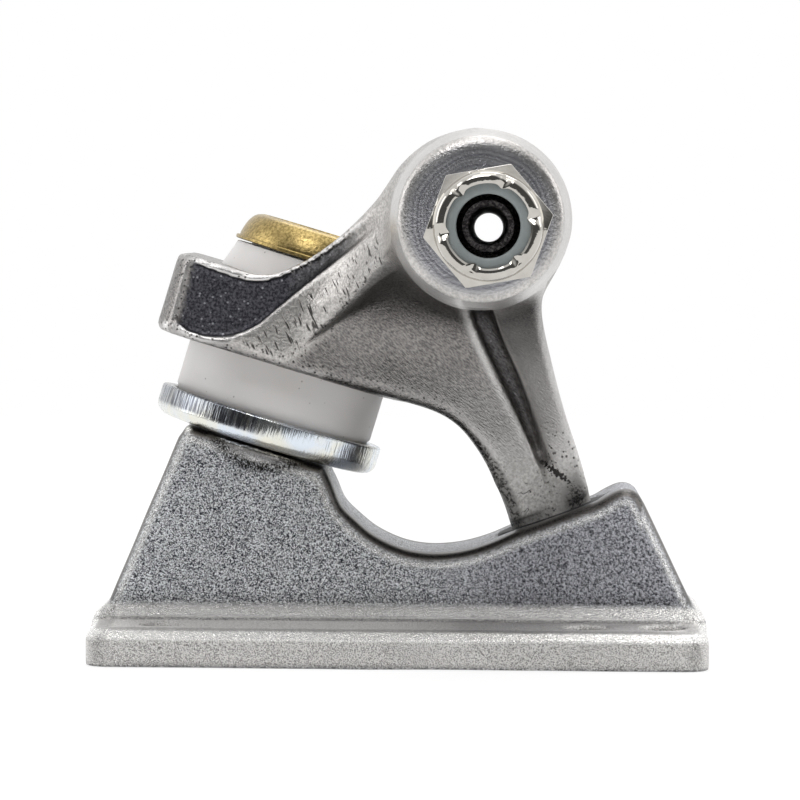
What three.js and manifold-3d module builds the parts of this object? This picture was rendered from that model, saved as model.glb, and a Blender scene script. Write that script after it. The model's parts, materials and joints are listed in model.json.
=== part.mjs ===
// A skateboard truck: a cast baseplate, a cast hanger that steers on two urethane bushings and
// a pivot cup, an inverted kingpin, and a hollow axle with its nuts and speed washers.
// Millimetres, +Z up. The origin is the centre of the baseplate's underside, +X points to the
// pivot end, +Y along the axle, and "left" is the -Y end.
import * as THREE from "three";
import { mergeVertices } from "three/addons/utils/BufferGeometryUtils.js";
import Module from "manifold-3d";

const wasm = await Module();
wasm.setup();
const { degToRad } = THREE.MathUtils;

// Clearances and cuts
const seatGap = 0.3; // between a piece and what it seats on or fits in
const overrun = 3; // how far a cut runs past the face that it opens
const steerLimit = degToRad(15);

// Axle
const axleHeight = 55.6;
const axleSetback = 11.1;
const axleDiameter = 7.94;
const axleBore = 4.24;
const axleLength = 215.9;
const axleChamfer = 0.9;

// Axle nuts, lock rings and speed washers
const axleNutFlats = 12.7;
const axleNutHeight = 6.8;
const axleNutCrownHeight = 1.9;
const axleNutLip = 0.4;
const axleNutReach = 3.05; // how far the nut's outer face stands past the axle's end
const axleRingBore = 7.1;
const axleRingDiameter = 10.6;
const speedWasherDiameter = 12.8;
const speedWasherGauge = 1;
const nutCornerAngle = degToRad(10.3);

// Hanger
const hangerWidth = 149;
const barrelRadius = 10.4;
const barrelEndRound = 1.2;
const barrelSetback = 0.9; // the barrel's centre lies this far behind the axle's
const barrelRise = 0.8;
const ringHalfWidth = 17.2;
const ringCornerRadius = 6;
const ringLowerSeatDepth = 2.7;
const ringFloorThickness = 3.5;
const ringUpperSeatDepth = 4.1;
const ringBoreRadius = 7;
const wingHalfSpan = 46; // where the arms and the rear plate run out into the barrel
const noseShank = 10; // how far the nose's round stem runs up into the leg
const armRecessDepth = 2.2;
const noseDiameter = 10.7;
const noseBallDepth = 6.3; // the ball's centre, below the mouth of the pivot socket
const legClearance = 1.4; // the leg's wide part stops this far above the socket's mouth
const webHalfWidth = 17;
const webCoreHalfWidth = 3.6;
const legHalfWidth = 5.35;

// Kingpin, its nut and the bushing stack, which stands square to the baseplate's seat
const kingpinTilt = degToRad(16.5);
const seatSetback = -18;
const seatHeight = 27;
const kingpinDiameter = 9.525;
const kingpinHeadDiameter = 14.8;
const kingpinHeadSink = 0.2; // below the top washer's face
const socketFlats = 5.56;
const socketDepth = 4;
const kingpinTipPastNut = 1;
const kingpinTipChamfer = 1;
const kingpinNutFlats = 14.29;
const kingpinNutHeight = 9;
const kingpinNutCrownHeight = 2.6;
const kingpinRingDiameter = 12.4;
const washerGauge = 1.6;
const bottomWasherRadius = 14.8;
const bottomWasherHeight = 3.8;
const bottomWasherEdgeRound = 1.4;
const bottomBushingRadius = 13.1;
const bottomBushingHeight = 11.1;
const bushingBore = 10.6;
const bushingEdge = 0.6;
const topBushingRadius = 12;
const topBushingShoulderRadius = 10.9;
const topBushingHeight = 9.2;
const topWasherRadius = 11.3;
const topWasherHeight = 3.6;
const topWasherFlatRadius = 8.6;
const topWasherLipRound = 0.3;
const topWasherWallHeight = 1.4; // the outer wall is near upright below this, and domed above

// Pivot socket and cup
const pivotTilt = degToRad(20);
const pivotSetback = 19.6;
const pivotHeight = 18.3;
const cupWall = 1.9;
const cupFloor = 2;
const cupDraft = 0.6;

// Baseplate
const plateLength = 78.5;
const plateWidth = 57;
const plateThickness = 4.3;
const plateCornerRadius = 3.5;
const plateCrown = 1.6;
const bodyFootLength = 75.2;
const bodyFootWidth = 30;
const bodyTopWidth = 23.6; // at the height of the kingpin seat
const bodyFootFillet = 2.4;
const bodyCornerRadius = 2.4;
const seatBossRadius = 13.2;
const seatBossHeight = 2.6;
const seatBossDraft = 1.2;
const seatHeelReach = 9.8; // the seat runs this far down the heel side of the kingpin
const seatToeReach = 8.7;
const heelShoulder = 1.3;
const saddleSetback = 4.6;
const saddleHeight = 13.6;
const saddleWallLean = 1.2; // from the seat's toe end to the foot of the wall below it
const mouthToeReach = 9; // the mouth's face runs this far past the pivot axis
const mouthHeelReach = 5;
const toeBossHeight = 22;
const toeBossLength = 2.4;
const toeShoulder = 1.4;
const toeFootReach = 1.2; // the toe slope ends this far past half the body's foot length
const kingpinSeatDepth = 12; // metal between the two faces that the kingpin clamps
const boltHoleDiameter = 5.5;
const boltSpacingAcross = 41.3;
const boltSpacingShort = 53.98;
const boltSpacingLong = 63.5;
const heelBoltEdge = 9.2; // from the heel end of the plate to its bolt holes
const cavityLength = 22;
const cavityWidth = 15;
const cavityCornerRadius = 4;
const cavityRoof = 6; // metal left over the cavity, under the saddle

// How fast the hanger's outlines flare from the ring or the leg out to the barrel
const armFlarePower = 2;
const webTaperPower = 1.5;
const gussetFlarePower = 4;
const rearFlarePower = 2.3;
const coreFlarePower = 3.5;

// Facets
const fineSides = 40;
const roundSides = 28;
const smallSides = 20;
const cornerSteps = 4;
const curveSteps = 8;

const steel = { roughness: 0.25, metalness: 1 };
const materials = {
  castAluminium: { color: 0x8d8e92, roughness: 0.45, metalness: 1 },
  zincSteel: { color: 0xb9bec2, ...steel },
  nickelSteel: { color: 0xc9c9c6, ...steel },
  axleSteel: { color: 0x6b6a6c, roughness: 0.35, metalness: 1 },
  brassPlate: { color: 0xb8963e, roughness: 0.35, metalness: 1 },
  whiteUrethane: { color: 0xd9d7d6, roughness: 0.5, metalness: 0 },
  blackUrethane: { color: 0x232326, roughness: 0.6, metalness: 0 },
  greyNylon: { color: 0x7c8487, roughness: 0.5, metalness: 0 },
};

// A closed geometry as a solid. Merged corners leave slivers at a lathe's poles, so they go.
function solid(geometry) {
  const bare = geometry.clone();
  bare.deleteAttribute("normal");
  bare.deleteAttribute("uv");
  const merged = mergeVertices(bare);
  const faces = [];
  for (let i = 0; i < merged.index.count; i += 3) {
    const [a, b, c] = [0, 1, 2].map((k) => merged.index.getX(i + k));
    if (a !== b && b !== c && c !== a) faces.push(a, b, c);
  }
  return new wasm.Manifold(
    new wasm.Mesh({
      numProp: 3,
      vertProperties: new Float32Array(merged.attributes.position.array),
      triVerts: new Uint32Array(faces),
    }),
  );
}

function geometryOf(made) {
  const mesh = made.getMesh();
  const geometry = new THREE.BufferGeometry();
  geometry.setAttribute("position", new THREE.BufferAttribute(mesh.vertProperties, 3));
  geometry.setIndex(new THREE.BufferAttribute(mesh.triVerts, 1));
  const flat = geometry.toNonIndexed();
  flat.computeVertexNormals();
  return flat;
}

function join(first, ...rest) {
  return rest.reduce((made, piece) => made.add(piece), first);
}

function cut(first, ...rest) {
  return rest.reduce((made, piece) => made.subtract(piece), first);
}

// A profile of [radius, height] pairs turned about Z. A hollow one closes on itself.
function turned(profile, sides, matrix) {
  const closed = profile[0][0] > 0 ? [...profile, profile[0]] : profile;
  const points = closed.map(([radius, height]) => new THREE.Vector2(radius, height));
  const geometry = new THREE.LatheGeometry(points, sides);
  geometry.rotateX(Math.PI / 2);
  if (matrix) geometry.applyMatrix4(matrix);
  return solid(geometry);
}

function rod(radius, low, high, sides, matrix) {
  return turned([[0, low], [radius, low], [radius, high], [0, high]], sides, matrix);
}

// A tube, each of whose ends lies square to Z.
function tube(inner, outer, low, high, sides, matrix) {
  const profile = [[inner, low], [outer, low], [outer, high], [inner, high]];
  return turned(profile, sides, matrix);
}

// A six-sided bar, turned about its own axis by an angle.
function hexBar(flats, low, high, matrix, turn = 0) {
  const geometry = new THREE.CylinderGeometry(
    flats / Math.sqrt(3),
    flats / Math.sqrt(3),
    high - low,
    6,
  );
  geometry.rotateX(Math.PI / 2);
  geometry.rotateZ(Math.PI / 6 + turn);
  geometry.translate(0, 0, (high + low) / 2);
  if (matrix) geometry.applyMatrix4(matrix);
  return solid(geometry);
}

function extruded(shape, depth) {
  return new THREE.ExtrudeGeometry(shape, {
    depth,
    bevelEnabled: false,
    curveSegments: curveSteps,
  });
}

// A side outline, drawn in X and Z, carried across Y.
function acrossY(shape, low, high) {
  const geometry = extruded(shape, high - low);
  geometry.rotateX(Math.PI / 2);
  geometry.translate(0, high, 0);
  return solid(geometry);
}

// A plan outline, drawn in X and Y, carried up Z.
function upZ(shape, low, high, matrix) {
  const geometry = extruded(shape, high - low);
  geometry.translate(0, 0, low);
  if (matrix) geometry.applyMatrix4(matrix);
  return solid(geometry);
}

// An end outline, drawn in Y and Z, carried along X.
function alongX(shape, low, high) {
  const geometry = extruded(shape, high - low);
  const turn = new THREE.Matrix4().makeBasis(
    new THREE.Vector3(0, 1, 0),
    new THREE.Vector3(0, 0, 1),
    new THREE.Vector3(1, 0, 0),
  );
  geometry.applyMatrix4(turn);
  geometry.translate(low, 0, 0);
  return solid(geometry);
}

function polygon(points) {
  return new THREE.Shape(points.map(([x, y]) => new THREE.Vector2(x, y)));
}

// The corners of a rectangle with rounded corners, counterclockwise.
function roundedRectangle(length, width, radius) {
  const points = [];
  for (let corner = 0; corner < 4; corner += 1) {
    const start = (corner * Math.PI) / 2;
    const sideX = corner === 0 || corner === 3 ? 1 : -1;
    const sideY = corner < 2 ? 1 : -1;
    for (let step = 0; step <= cornerSteps; step += 1) {
      const angle = start + (step / cornerSteps) * (Math.PI / 2);
      points.push([
        sideX * (length / 2 - radius) + radius * Math.cos(angle),
        sideY * (width / 2 - radius) + radius * Math.sin(angle),
      ]);
    }
  }
  return points;
}

// A solid between level outlines of as many points each, given from the bottom up.
function lofted(levels) {
  const count = levels[0].points.length;
  const positions = levels.flatMap(({ points, z }) => points.flatMap(([x, y]) => [x, y, z]));
  const faces = [];
  for (let level = 0; level + 1 < levels.length; level += 1) {
    for (let i = 0; i < count; i += 1) {
      const [a, b] = [level * count + i, level * count + ((i + 1) % count)];
      faces.push(a, b, b + count, a, b + count, a + count);
    }
  }
  const top = (levels.length - 1) * count;
  for (let i = 1; i + 1 < count; i += 1) {
    faces.push(0, i + 1, i, top, top + i, top + i + 1);
  }
  const geometry = new THREE.BufferGeometry();
  geometry.setAttribute("position", new THREE.Float32BufferAttribute(positions, 3));
  geometry.setIndex(faces);
  return solid(geometry);
}

// Places in the side view, as shares of the way from one centre to another and to its left.
function between(from, to) {
  const along = to.clone().sub(from);
  const across = new THREE.Vector2(-along.y, along.x);
  return ([alongShare, acrossShare]) => {
    const point = from.clone().addScaledVector(along, alongShare);
    point.addScaledVector(across, acrossShare);
    return [point.x, point.y];
  };
}

// Half-widths that grow from inner to outer between two stations, as a closed outline that is
// mirrored about its middle: slowly at first where the power is above one.
function flare(low, high, innerHalf, outerHalf, power, inset = 0) {
  const side = [];
  for (let step = 0; step <= curveSteps; step += 1) {
    const share = step / curveSteps;
    const half = innerHalf + (outerHalf - innerHalf) * share ** power - inset;
    side.push([low + (high - low) * share, half]);
  }
  return [...side, ...side.toReversed().map(([station, half]) => [station, -half])];
}

// Stations of the kingpin stack, measured along the kingpin from the baseplate's seat
const bottomWasherLow = seatGap;
const bottomWasherFloor = bottomWasherLow + washerGauge;
const bottomBushingLow = bottomWasherFloor + seatGap;
const bottomBushingHigh = bottomBushingLow + bottomBushingHeight;
const ringLowerFloor = bottomBushingHigh + seatGap;
const ringLow = ringLowerFloor - ringLowerSeatDepth;
const ringUpperFloor = ringLowerFloor + ringFloorThickness;
const ringHigh = ringUpperFloor + ringUpperSeatDepth;
const topBushingLow = ringUpperFloor + seatGap;
const topBushingHigh = topBushingLow + topBushingHeight;
const topWasherCeiling = topBushingHigh + seatGap;
const topWasherHigh = topWasherCeiling + washerGauge;
const topWasherLow = topWasherHigh - topWasherHeight;
const kingpinHeadHigh = topWasherHigh - kingpinHeadSink;
const kingpinNutHigh = -kingpinSeatDepth - seatGap;
const kingpinNutLow = kingpinNutHigh - kingpinNutHeight;
const kingpinLow = kingpinNutLow - kingpinTipPastNut;

// Frames and centres
const kingpinRadius = kingpinDiameter / 2;
const axleRadius = axleDiameter / 2;
const noseRadius = noseDiameter / 2;
const kingpinFrame = new THREE.Matrix4()
  .makeRotationY(kingpinTilt)
  .setPosition(seatSetback, 0, seatHeight);
const pivotFrame = new THREE.Matrix4()
  .makeRotationY(-pivotTilt)
  .setPosition(pivotSetback, 0, pivotHeight);

// A point of the side view that lies on a tilted axis, this far along and beside it.
function onAxis(frame, along, beside) {
  const point = new THREE.Vector3(beside, 0, along).applyMatrix4(frame);
  return new THREE.Vector2(point.x, point.z);
}

const axleCentre = new THREE.Vector2(axleSetback, axleHeight);
const barrelCentre = new THREE.Vector2(axleSetback - barrelSetback, axleHeight + barrelRise);
const ringCentre = onAxis(kingpinFrame, (ringLowerFloor + ringUpperFloor) / 2, 0);
const noseBall = onAxis(pivotFrame, -noseBallDepth, 0);
const mouthCentre = onAxis(pivotFrame, 0, 0);
const ringToBarrel = between(ringCentre, barrelCentre);
const mouthToBarrel = between(mouthCentre, barrelCentre);

function alongAxle(centre) {
  return new THREE.Matrix4().makeRotationX(-Math.PI / 2).setPosition(centre.x, 0, centre.y);
}
const axleFrame = alongAxle(axleCentre);
const barrelFrame = alongAxle(barrelCentre);

// Baseplate

// The side outline of the body: heel slope, kingpin seat, saddle, pivot mouth and toe slope.
function bodySideOutline() {
  const foot = plateThickness;
  const heelTop = onAxis(kingpinFrame, 0, -seatHeelReach);
  const seatToe = onAxis(kingpinFrame, 0, seatToeReach);
  const saddle = new THREE.Vector2(saddleSetback, saddleHeight);
  const mouthHeel = onAxis(pivotFrame, 0, -mouthHeelReach);
  const mouthToe = onAxis(pivotFrame, 0, mouthToeReach);
  const shape = new THREE.Shape();
  shape.moveTo(-bodyFootLength / 2, foot);
  shape.lineTo(bodyFootLength / 2 + toeFootReach, foot);
  const toeTop = mouthToe.x + toeBossLength;
  shape.lineTo(toeTop + toeShoulder, toeBossHeight - toeShoulder);
  shape.quadraticCurveTo(toeTop + toeShoulder / 2, toeBossHeight, toeTop, toeBossHeight);
  shape.quadraticCurveTo(mouthToe.x, toeBossHeight, mouthToe.x, mouthToe.y);
  shape.lineTo(mouthHeel.x, mouthHeel.y);
  shape.quadraticCurveTo((saddle.x + mouthHeel.x) / 2, saddle.y, saddle.x, saddle.y);
  shape.bezierCurveTo(
    (saddle.x + seatToe.x) / 2,
    saddle.y,
    seatToe.x + saddleWallLean,
    (saddle.y + seatToe.y) / 2,
    seatToe.x,
    seatToe.y,
  );
  shape.lineTo(heelTop.x, heelTop.y);
  shape.lineTo(heelTop.x - heelShoulder, heelTop.y - heelShoulder);
  return shape;
}

function baseplate() {
  const footTop = plateThickness + plateCrown;
  const plate = lofted([
    { points: roundedRectangle(plateLength, plateWidth, plateCornerRadius), z: 0 },
    { points: roundedRectangle(plateLength, plateWidth, plateCornerRadius), z: plateThickness },
    {
      points: roundedRectangle(
        bodyFootLength + bodyFootFillet,
        bodyFootWidth + 2 * bodyFootFillet,
        plateCornerRadius,
      ),
      z: footTop,
    },
    {
      points: roundedRectangle(bodyFootLength, bodyFootWidth, bodyCornerRadius),
      z: footTop + bodyFootFillet,
    },
  ]);
  const widen = (bodyFootWidth - bodyTopWidth) / (seatHeight - footTop);
  const crest = seatHeight + seatBossRadius;
  const crestWidth = bodyTopWidth - widen * (crest - seatHeight);
  const drafted = lofted([
    { points: roundedRectangle(plateLength, bodyFootWidth, bodyCornerRadius), z: footTop },
    { points: roundedRectangle(plateLength, crestWidth, bodyCornerRadius), z: crest },
  ]);
  const boss = turned(
    [
      [0, -seatBossHeight],
      [seatBossRadius - seatBossDraft, -seatBossHeight],
      [seatBossRadius, 0],
      [seatBossRadius, overrun],
      [0, overrun],
    ],
    roundSides,
    kingpinFrame,
  );
  const side = acrossY(bodySideOutline(), -bodyFootWidth, bodyFootWidth);
  const body = side.intersect(join(drafted, boss));

  const kingpinHole = rod(
    kingpinRadius + seatGap,
    -kingpinSeatDepth - overrun,
    overrun,
    smallSides,
    kingpinFrame,
  );
  const pocketFloor = -kingpinSeatDepth - seatHeight;
  const nutPocket = hexBar(
    kingpinNutFlats + 2 * seatGap,
    pocketFloor,
    -kingpinSeatDepth,
    kingpinFrame,
  );
  const socket = turned(cupOuter(seatGap, overrun), roundSides, pivotFrame);
  const cavity = upZ(
    polygon(roundedRectangle(cavityLength, cavityWidth, cavityCornerRadius)),
    -overrun,
    saddleHeight - cavityRoof,
  );
  const heelRow = heelBoltEdge - plateLength / 2;
  const holes = [heelRow, heelRow + boltSpacingShort, heelRow + boltSpacingLong].flatMap((x) =>
    [-1, 1].map((side) => {
      const hole = new THREE.Matrix4().setPosition(x, (side * boltSpacingAcross) / 2, 0);
      return rod(boltHoleDiameter / 2, -overrun, footTop + overrun, smallSides, hole);
    }),
  );
  return cut(join(plate, body), kingpinHole, nutPocket, socket, cavity, ...holes);
}

// Pivot cup

const cupInnerRadius = noseRadius + seatGap;
const cupOuterRadius = cupInnerRadius + cupWall;
const cupInnerDepth = noseBallDepth + cupInnerRadius;
const cupDepth = cupInnerDepth + cupFloor;

// The cup's outside, or its socket where it is grown by a gap and run out of the mouth.
function cupOuter(grown, past) {
  return [
    [0, -cupDepth - grown],
    [cupOuterRadius - cupDraft + grown, -cupDepth - grown],
    [cupOuterRadius + grown, past],
    [0, past],
  ];
}

// A ball-ended bar, from the ball's lowest point up to a height.
function ballEnd(radius, centre, high, steps) {
  const profile = [];
  for (let step = 0; step <= steps; step += 1) {
    const angle = ((step / steps) * Math.PI) / 2;
    profile.push([radius * Math.sin(angle), centre - radius * Math.cos(angle)]);
  }
  return [...profile, [radius, high], [0, high]];
}

function pivotCup() {
  const inside = ballEnd(cupInnerRadius, -noseBallDepth, overrun, curveSteps);
  return cut(turned(cupOuter(0, 0), roundSides), turned(inside, roundSides));
}

// Hanger

// The ring from above, along the kingpin: flat sided with rounded corners at the front, and a
// half circle at the back, where it runs into the web.
function ringOutline() {
  const shape = new THREE.Shape();
  const straight = ringHalfWidth - ringCornerRadius;
  shape.absarc(0, 0, ringHalfWidth, -Math.PI / 2, Math.PI / 2, false);
  shape.absarc(-straight, straight, ringCornerRadius, Math.PI / 2, Math.PI, false);
  shape.absarc(-straight, -straight, ringCornerRadius, Math.PI, -Math.PI / 2, false);
  return shape;
}

// Side outlines of the hanger, as shares of the way from the ring's centre to the barrel's
const armShares = [
  [-0.1, -0.1], [0.16, -0.04], [0.3, 0], [0.45, 0.06], [0.56, 0.08], [0.85, -0.05],
  [1.05, 0.36], [0.83, 0.42], [0.73, 0.43], [0.62, 0.37], [0.52, 0.33], [0.42, 0.29],
  [0.32, 0.27], [0.22, 0.25], [0.12, 0.25], [0.03, 0.26], [-0.12, 0.29], [-0.35, 0.36],
];
const recessShares = [
  [-0.42, 0.29], [-0.4, 0.25], [-0.33, 0.18], [-0.24, 0.12], [-0.14, 0.08], [-0.04, 0.08],
  [0.07, 0.11], [0.2, 0.15], [0.38, 0.2], [0.5, 0.24], [0.62, 0.31],
  [0.49, 0.3], [0.4, 0.26], [0.29, 0.23], [0.12, 0.22], [0.02, 0.24], [-0.07, 0.28],
  [-0.15, 0.33], [-0.25, 0.4],
];
const webShares = [
  [0.02, -0.25], [0.35, -0.6], [0.43, -0.71], [0.47, -0.78], [0.52, -0.87],
  [0.75, -0.65], [0.85, -0.3], [0.95, 0], [0.7, 0.15], [0.35, 0.15], [-0.1, 0.05],
];
// and as shares of the way from the pivot's mouth to the barrel's centre
const gussetShares = [
  [0.2, 0.09], [0.33, 0.15], [0.42, 0.22], [0.5, 0.34], [0.62, 0.44], [0.9, 0.3],
  [1, 0], [0.74, 0.12], [0.5, 0.07], [0.34, 0.02],
];
const rearShares = [
  [0.03, -0.14], [0.11, -0.13], [0.24, -0.12], [0.39, -0.11], [0.56, -0.11], [0.71, -0.11],
  [0.78, -0.13], [0.83, -0.16], [0.9, -0.23], [1, -0.1], [0.9, 0.05], [0.7, 0.04],
  [0.48, -0.01], [0.25, -0.02], [0.17, -0.03], [0.03, 0],
];
const coreShares = [
  [0.03, -0.12], [0.4, -0.08], [0.75, -0.08], [0.95, 0], [0.7, 0.45], [0.55, 0.5],
  [0.5, 0.35], [0.38, 0.24], [0.25, 0.16], [0.1, 0.13], [0.03, 0.13],
];

// The outline of the arms' sides from above, or of the recess's floor where it is inset.
function armPlan(inset) {
  const front = ringCentre.x - ringHalfWidth;
  const start = ringCentre.x - ringCornerRadius / 2;
  const grown = flare(start, barrelCentre.x, ringHalfWidth, wingHalfSpan, armFlarePower, inset);
  const half = ringHalfWidth - inset;
  return polygon([[front, -half], ...grown.toReversed(), [front, half]].toReversed());
}

function hanger() {
  const reach = wingHalfSpan + overrun;
  const low = mouthCentre.y;
  const high = barrelCentre.y;
  const barrelHalf = hangerWidth / 2;
  const barrel = turned(
    [
      [0, -barrelHalf],
      [barrelRadius - barrelEndRound, -barrelHalf],
      [barrelRadius, -barrelHalf + barrelEndRound],
      [barrelRadius, barrelHalf - barrelEndRound],
      [barrelRadius - barrelEndRound, barrelHalf],
      [0, barrelHalf],
    ],
    fineSides,
    barrelFrame,
  );
  const ring = upZ(ringOutline(), ringLow, ringHigh, kingpinFrame);
  const arms = acrossY(polygon(armShares.map(ringToBarrel)), -reach, reach).intersect(
    upZ(armPlan(0), 0, axleHeight + 2 * barrelRadius),
  );
  const webPlan = flare(
    ringCentre.x - ringCornerRadius,
    mouthCentre.x,
    webHalfWidth,
    legHalfWidth,
    webTaperPower,
  );
  const web = acrossY(polygon(webShares.map(ringToBarrel)), -reach, reach).intersect(
    upZ(polygon(webPlan), 0, axleHeight + barrelRadius),
  );
  const endOutline = (from, innerHalf, power) =>
    polygon(flare(from, high, innerHalf, wingHalfSpan, power).map(([z, y]) => [y, z]).toReversed());
  const acrossLeg = (shares, outline) =>
    acrossY(polygon(shares.map(mouthToBarrel)), -reach, reach).intersect(
      alongX(outline, -plateLength, plateLength),
    );
  const gusset = acrossLeg(gussetShares, endOutline(low, legHalfWidth, gussetFlarePower));
  const rear = acrossLeg(rearShares, endOutline(low, legHalfWidth, rearFlarePower));
  const core = acrossLeg(coreShares, endOutline(low, webCoreHalfWidth, coreFlarePower));
  const nose = turned(
    ballEnd(noseRadius, -noseBallDepth, noseShank, curveSteps),
    roundSides,
    pivotFrame,
  );

  // What the leg's outlines leave below the nose's shoulder is cleared for steering.
  const mouthRelief = tube(
    noseRadius,
    noseRadius + ringHalfWidth,
    -ringHalfWidth,
    legClearance,
    roundSides,
    pivotFrame,
  );
  const recess = acrossY(polygon(recessShares.map(ringToBarrel)), -reach, reach).subtract(
    upZ(armPlan(armRecessDepth), 0, axleHeight + 2 * barrelRadius),
  );
  const lowerSeat = rod(
    bottomBushingRadius + seatGap,
    ringLow - ringHalfWidth,
    ringLowerFloor,
    roundSides,
    kingpinFrame,
  );
  const bore = rod(ringBoreRadius, ringLow, ringHigh, roundSides, kingpinFrame);
  const upperSeat = rod(
    topBushingRadius + seatGap,
    ringUpperFloor,
    ringHigh + overrun,
    roundSides,
    kingpinFrame,
  );
  // The room that the top washer needs over the ring, as wide again as steering swings it.
  const swing = (topWasherHigh - (ringLow + ringHigh) / 2) * Math.sin(steerLimit);
  const washerRoomFrame = kingpinFrame.clone().multiply(
    new THREE.Matrix4().makeScale(1, (topWasherRadius + swing) / topWasherRadius, 1),
  );
  const roomRadius = topWasherRadius + 2 * seatGap;
  const keyRoom = rod(roomRadius, ringHigh, ringHigh + 2 * barrelRadius, roundSides, washerRoomFrame);
  const washerRoom = rod(roomRadius, ringHigh, topWasherHigh + seatGap, roundSides, washerRoomFrame);
  const axleHole = rod(
    axleRadius + seatGap,
    -barrelHalf - overrun,
    barrelHalf + overrun,
    roundSides,
    axleFrame,
  );
  const cast = join(ring, arms, web, gusset, rear, core);
  return cut(
    join(cut(cast, mouthRelief, keyRoom), nose, barrel),
    recess,
    lowerSeat,
    bore,
    upperSeat,
    washerRoom,
    axleHole,
  );
}

// Bushings and cup washers, each on the kingpin's own axis

function bottomWasher() {
  const wall = bottomWasherRadius - washerGauge;
  const high = bottomWasherLow + bottomWasherHeight;
  return turned(
    [
      [kingpinRadius + seatGap, bottomWasherLow],
      [bottomWasherRadius - bottomWasherEdgeRound, bottomWasherLow],
      [bottomWasherRadius - bottomWasherEdgeRound / 3, bottomWasherLow + bottomWasherEdgeRound / 3],
      [bottomWasherRadius, bottomWasherLow + bottomWasherEdgeRound],
      [bottomWasherRadius, high],
      [wall + seatGap, high],
      [wall, bottomWasherFloor],
      [kingpinRadius + seatGap, bottomWasherFloor],
    ],
    fineSides,
  );
}

function bottomBushing() {
  const [low, high] = [bottomBushingLow, bottomBushingHigh];
  // Inside the cup the bushing is drawn in, to stay clear of the washer's rim.
  const cupped = bottomWasherRadius - washerGauge - seatGap - bushingEdge;
  const rim = bottomWasherLow + bottomWasherHeight;
  return turned(
    [
      [bushingBore / 2, low],
      [cupped - bushingEdge, low],
      [cupped, low + bushingEdge],
      [bottomBushingRadius - seatGap, rim],
      [bottomBushingRadius, rim + bushingEdge],
      [bottomBushingRadius, high - bushingEdge],
      [bottomBushingRadius - bushingEdge, high],
      [bushingBore / 2, high],
    ],
    fineSides,
  );
}

function topBushing() {
  const shoulder = topWasherLow - seatGap;
  const inCup = topWasherRadius - washerGauge - 2 * seatGap;
  return turned(
    [
      [bushingBore / 2, topBushingLow],
      [topBushingRadius - bushingEdge, topBushingLow],
      [topBushingRadius, topBushingLow + bushingEdge],
      [topBushingRadius, ringHigh],
      [topBushingShoulderRadius, shoulder],
      [inCup, shoulder],
      [inCup - bushingEdge, topBushingHigh],
      [headRadiusAt(topBushingHigh) + seatGap, topBushingHigh],
      [bushingBore / 2, topBushingHigh - (headRadiusAt(topBushingHigh) + seatGap - bushingBore / 2)],
    ],
    fineSides,
  );
}

// The kingpin's countersunk head, a cone with walls at 45 degrees.
function headRadiusAt(station) {
  return kingpinHeadDiameter / 2 - (kingpinHeadHigh - station);
}

function topWasher() {
  const brim = topWasherRadius - washerGauge;
  const gap = 2 * seatGap;
  return turned(
    [
      [headRadiusAt(topWasherCeiling) + gap, topWasherCeiling],
      [brim - seatGap, topWasherCeiling],
      [brim, topWasherLow],
      [topWasherRadius - topWasherLipRound, topWasherLow],
      [topWasherRadius, topWasherLow + topWasherLipRound],
      [topWasherRadius - topWasherLipRound, topWasherLow + topWasherWallHeight],
      [topWasherFlatRadius + washerGauge / 2, topWasherHigh - 2 * topWasherLipRound],
      [topWasherFlatRadius, topWasherHigh],
      [headRadiusAt(topWasherHigh) + gap, topWasherHigh],
    ],
    fineSides,
  );
}

// Kingpin and its nut

function kingpin() {
  const neck = kingpinHeadHigh - (kingpinHeadDiameter / 2 - kingpinRadius);
  const body = turned(
    [
      [0, kingpinLow],
      [kingpinRadius - kingpinTipChamfer, kingpinLow],
      [kingpinRadius, kingpinLow + kingpinTipChamfer],
      [kingpinRadius, neck],
      [kingpinHeadDiameter / 2, kingpinHeadHigh],
      [0, kingpinHeadHigh],
    ],
    roundSides,
  );
  return cut(body, hexBar(socketFlats, kingpinHeadHigh - socketDepth, kingpinHeadHigh + overrun));
}

// A lock nut that stands on its bearing face at Z = 0: a hexagon with chamfered corners, and a
// crown that is turned in over the groove for the lock ring.
function lockNut(size, turn) {
  const { flats, height, crownHeight, holeRadius, ringRadius, ringLow, lip } = size;
  const corner = flats / Math.sqrt(3);
  const chamfer = corner - flats / 2;
  const hexHigh = height - crownHeight;
  const envelope = turned(
    [
      [0, 0],
      [flats / 2, 0],
      [corner, chamfer],
      [corner, hexHigh - chamfer],
      [flats / 2, hexHigh],
      [flats / 2 - chamfer / 2, height - lip],
      [flats / 2 - chamfer, height],
      [0, height],
    ],
    fineSides,
  );
  const blank = hexBar(flats, 0, height, null, turn).intersect(envelope);
  const groove = rod(ringRadius + seatGap, ringLow - seatGap, height - lip, roundSides);
  const through = rod(holeRadius + seatGap, -overrun, ringLow, roundSides);
  const mouth = rod(ringRadius - lip, ringLow, height + overrun, roundSides);
  return cut(blank, groove, through, mouth);
}

const kingpinNutSize = {
  flats: kingpinNutFlats,
  height: kingpinNutHeight,
  crownHeight: kingpinNutCrownHeight,
  holeRadius: kingpinRadius,
  ringRadius: kingpinRingDiameter / 2,
  ringLow: kingpinNutHeight - kingpinNutCrownHeight,
  lip: axleNutLip,
};

// Axle, its nuts and washers

const axleNutSize = {
  flats: axleNutFlats,
  height: axleNutHeight,
  crownHeight: axleNutCrownHeight,
  holeRadius: axleRadius,
  ringRadius: axleRingDiameter / 2,
  ringLow: axleNutHeight - axleNutReach + seatGap,
  lip: axleNutLip,
};

function lockRing(size, innerRadius) {
  return tube(innerRadius, size.ringRadius, size.ringLow, size.height - size.lip - seatGap, roundSides);
}

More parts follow.
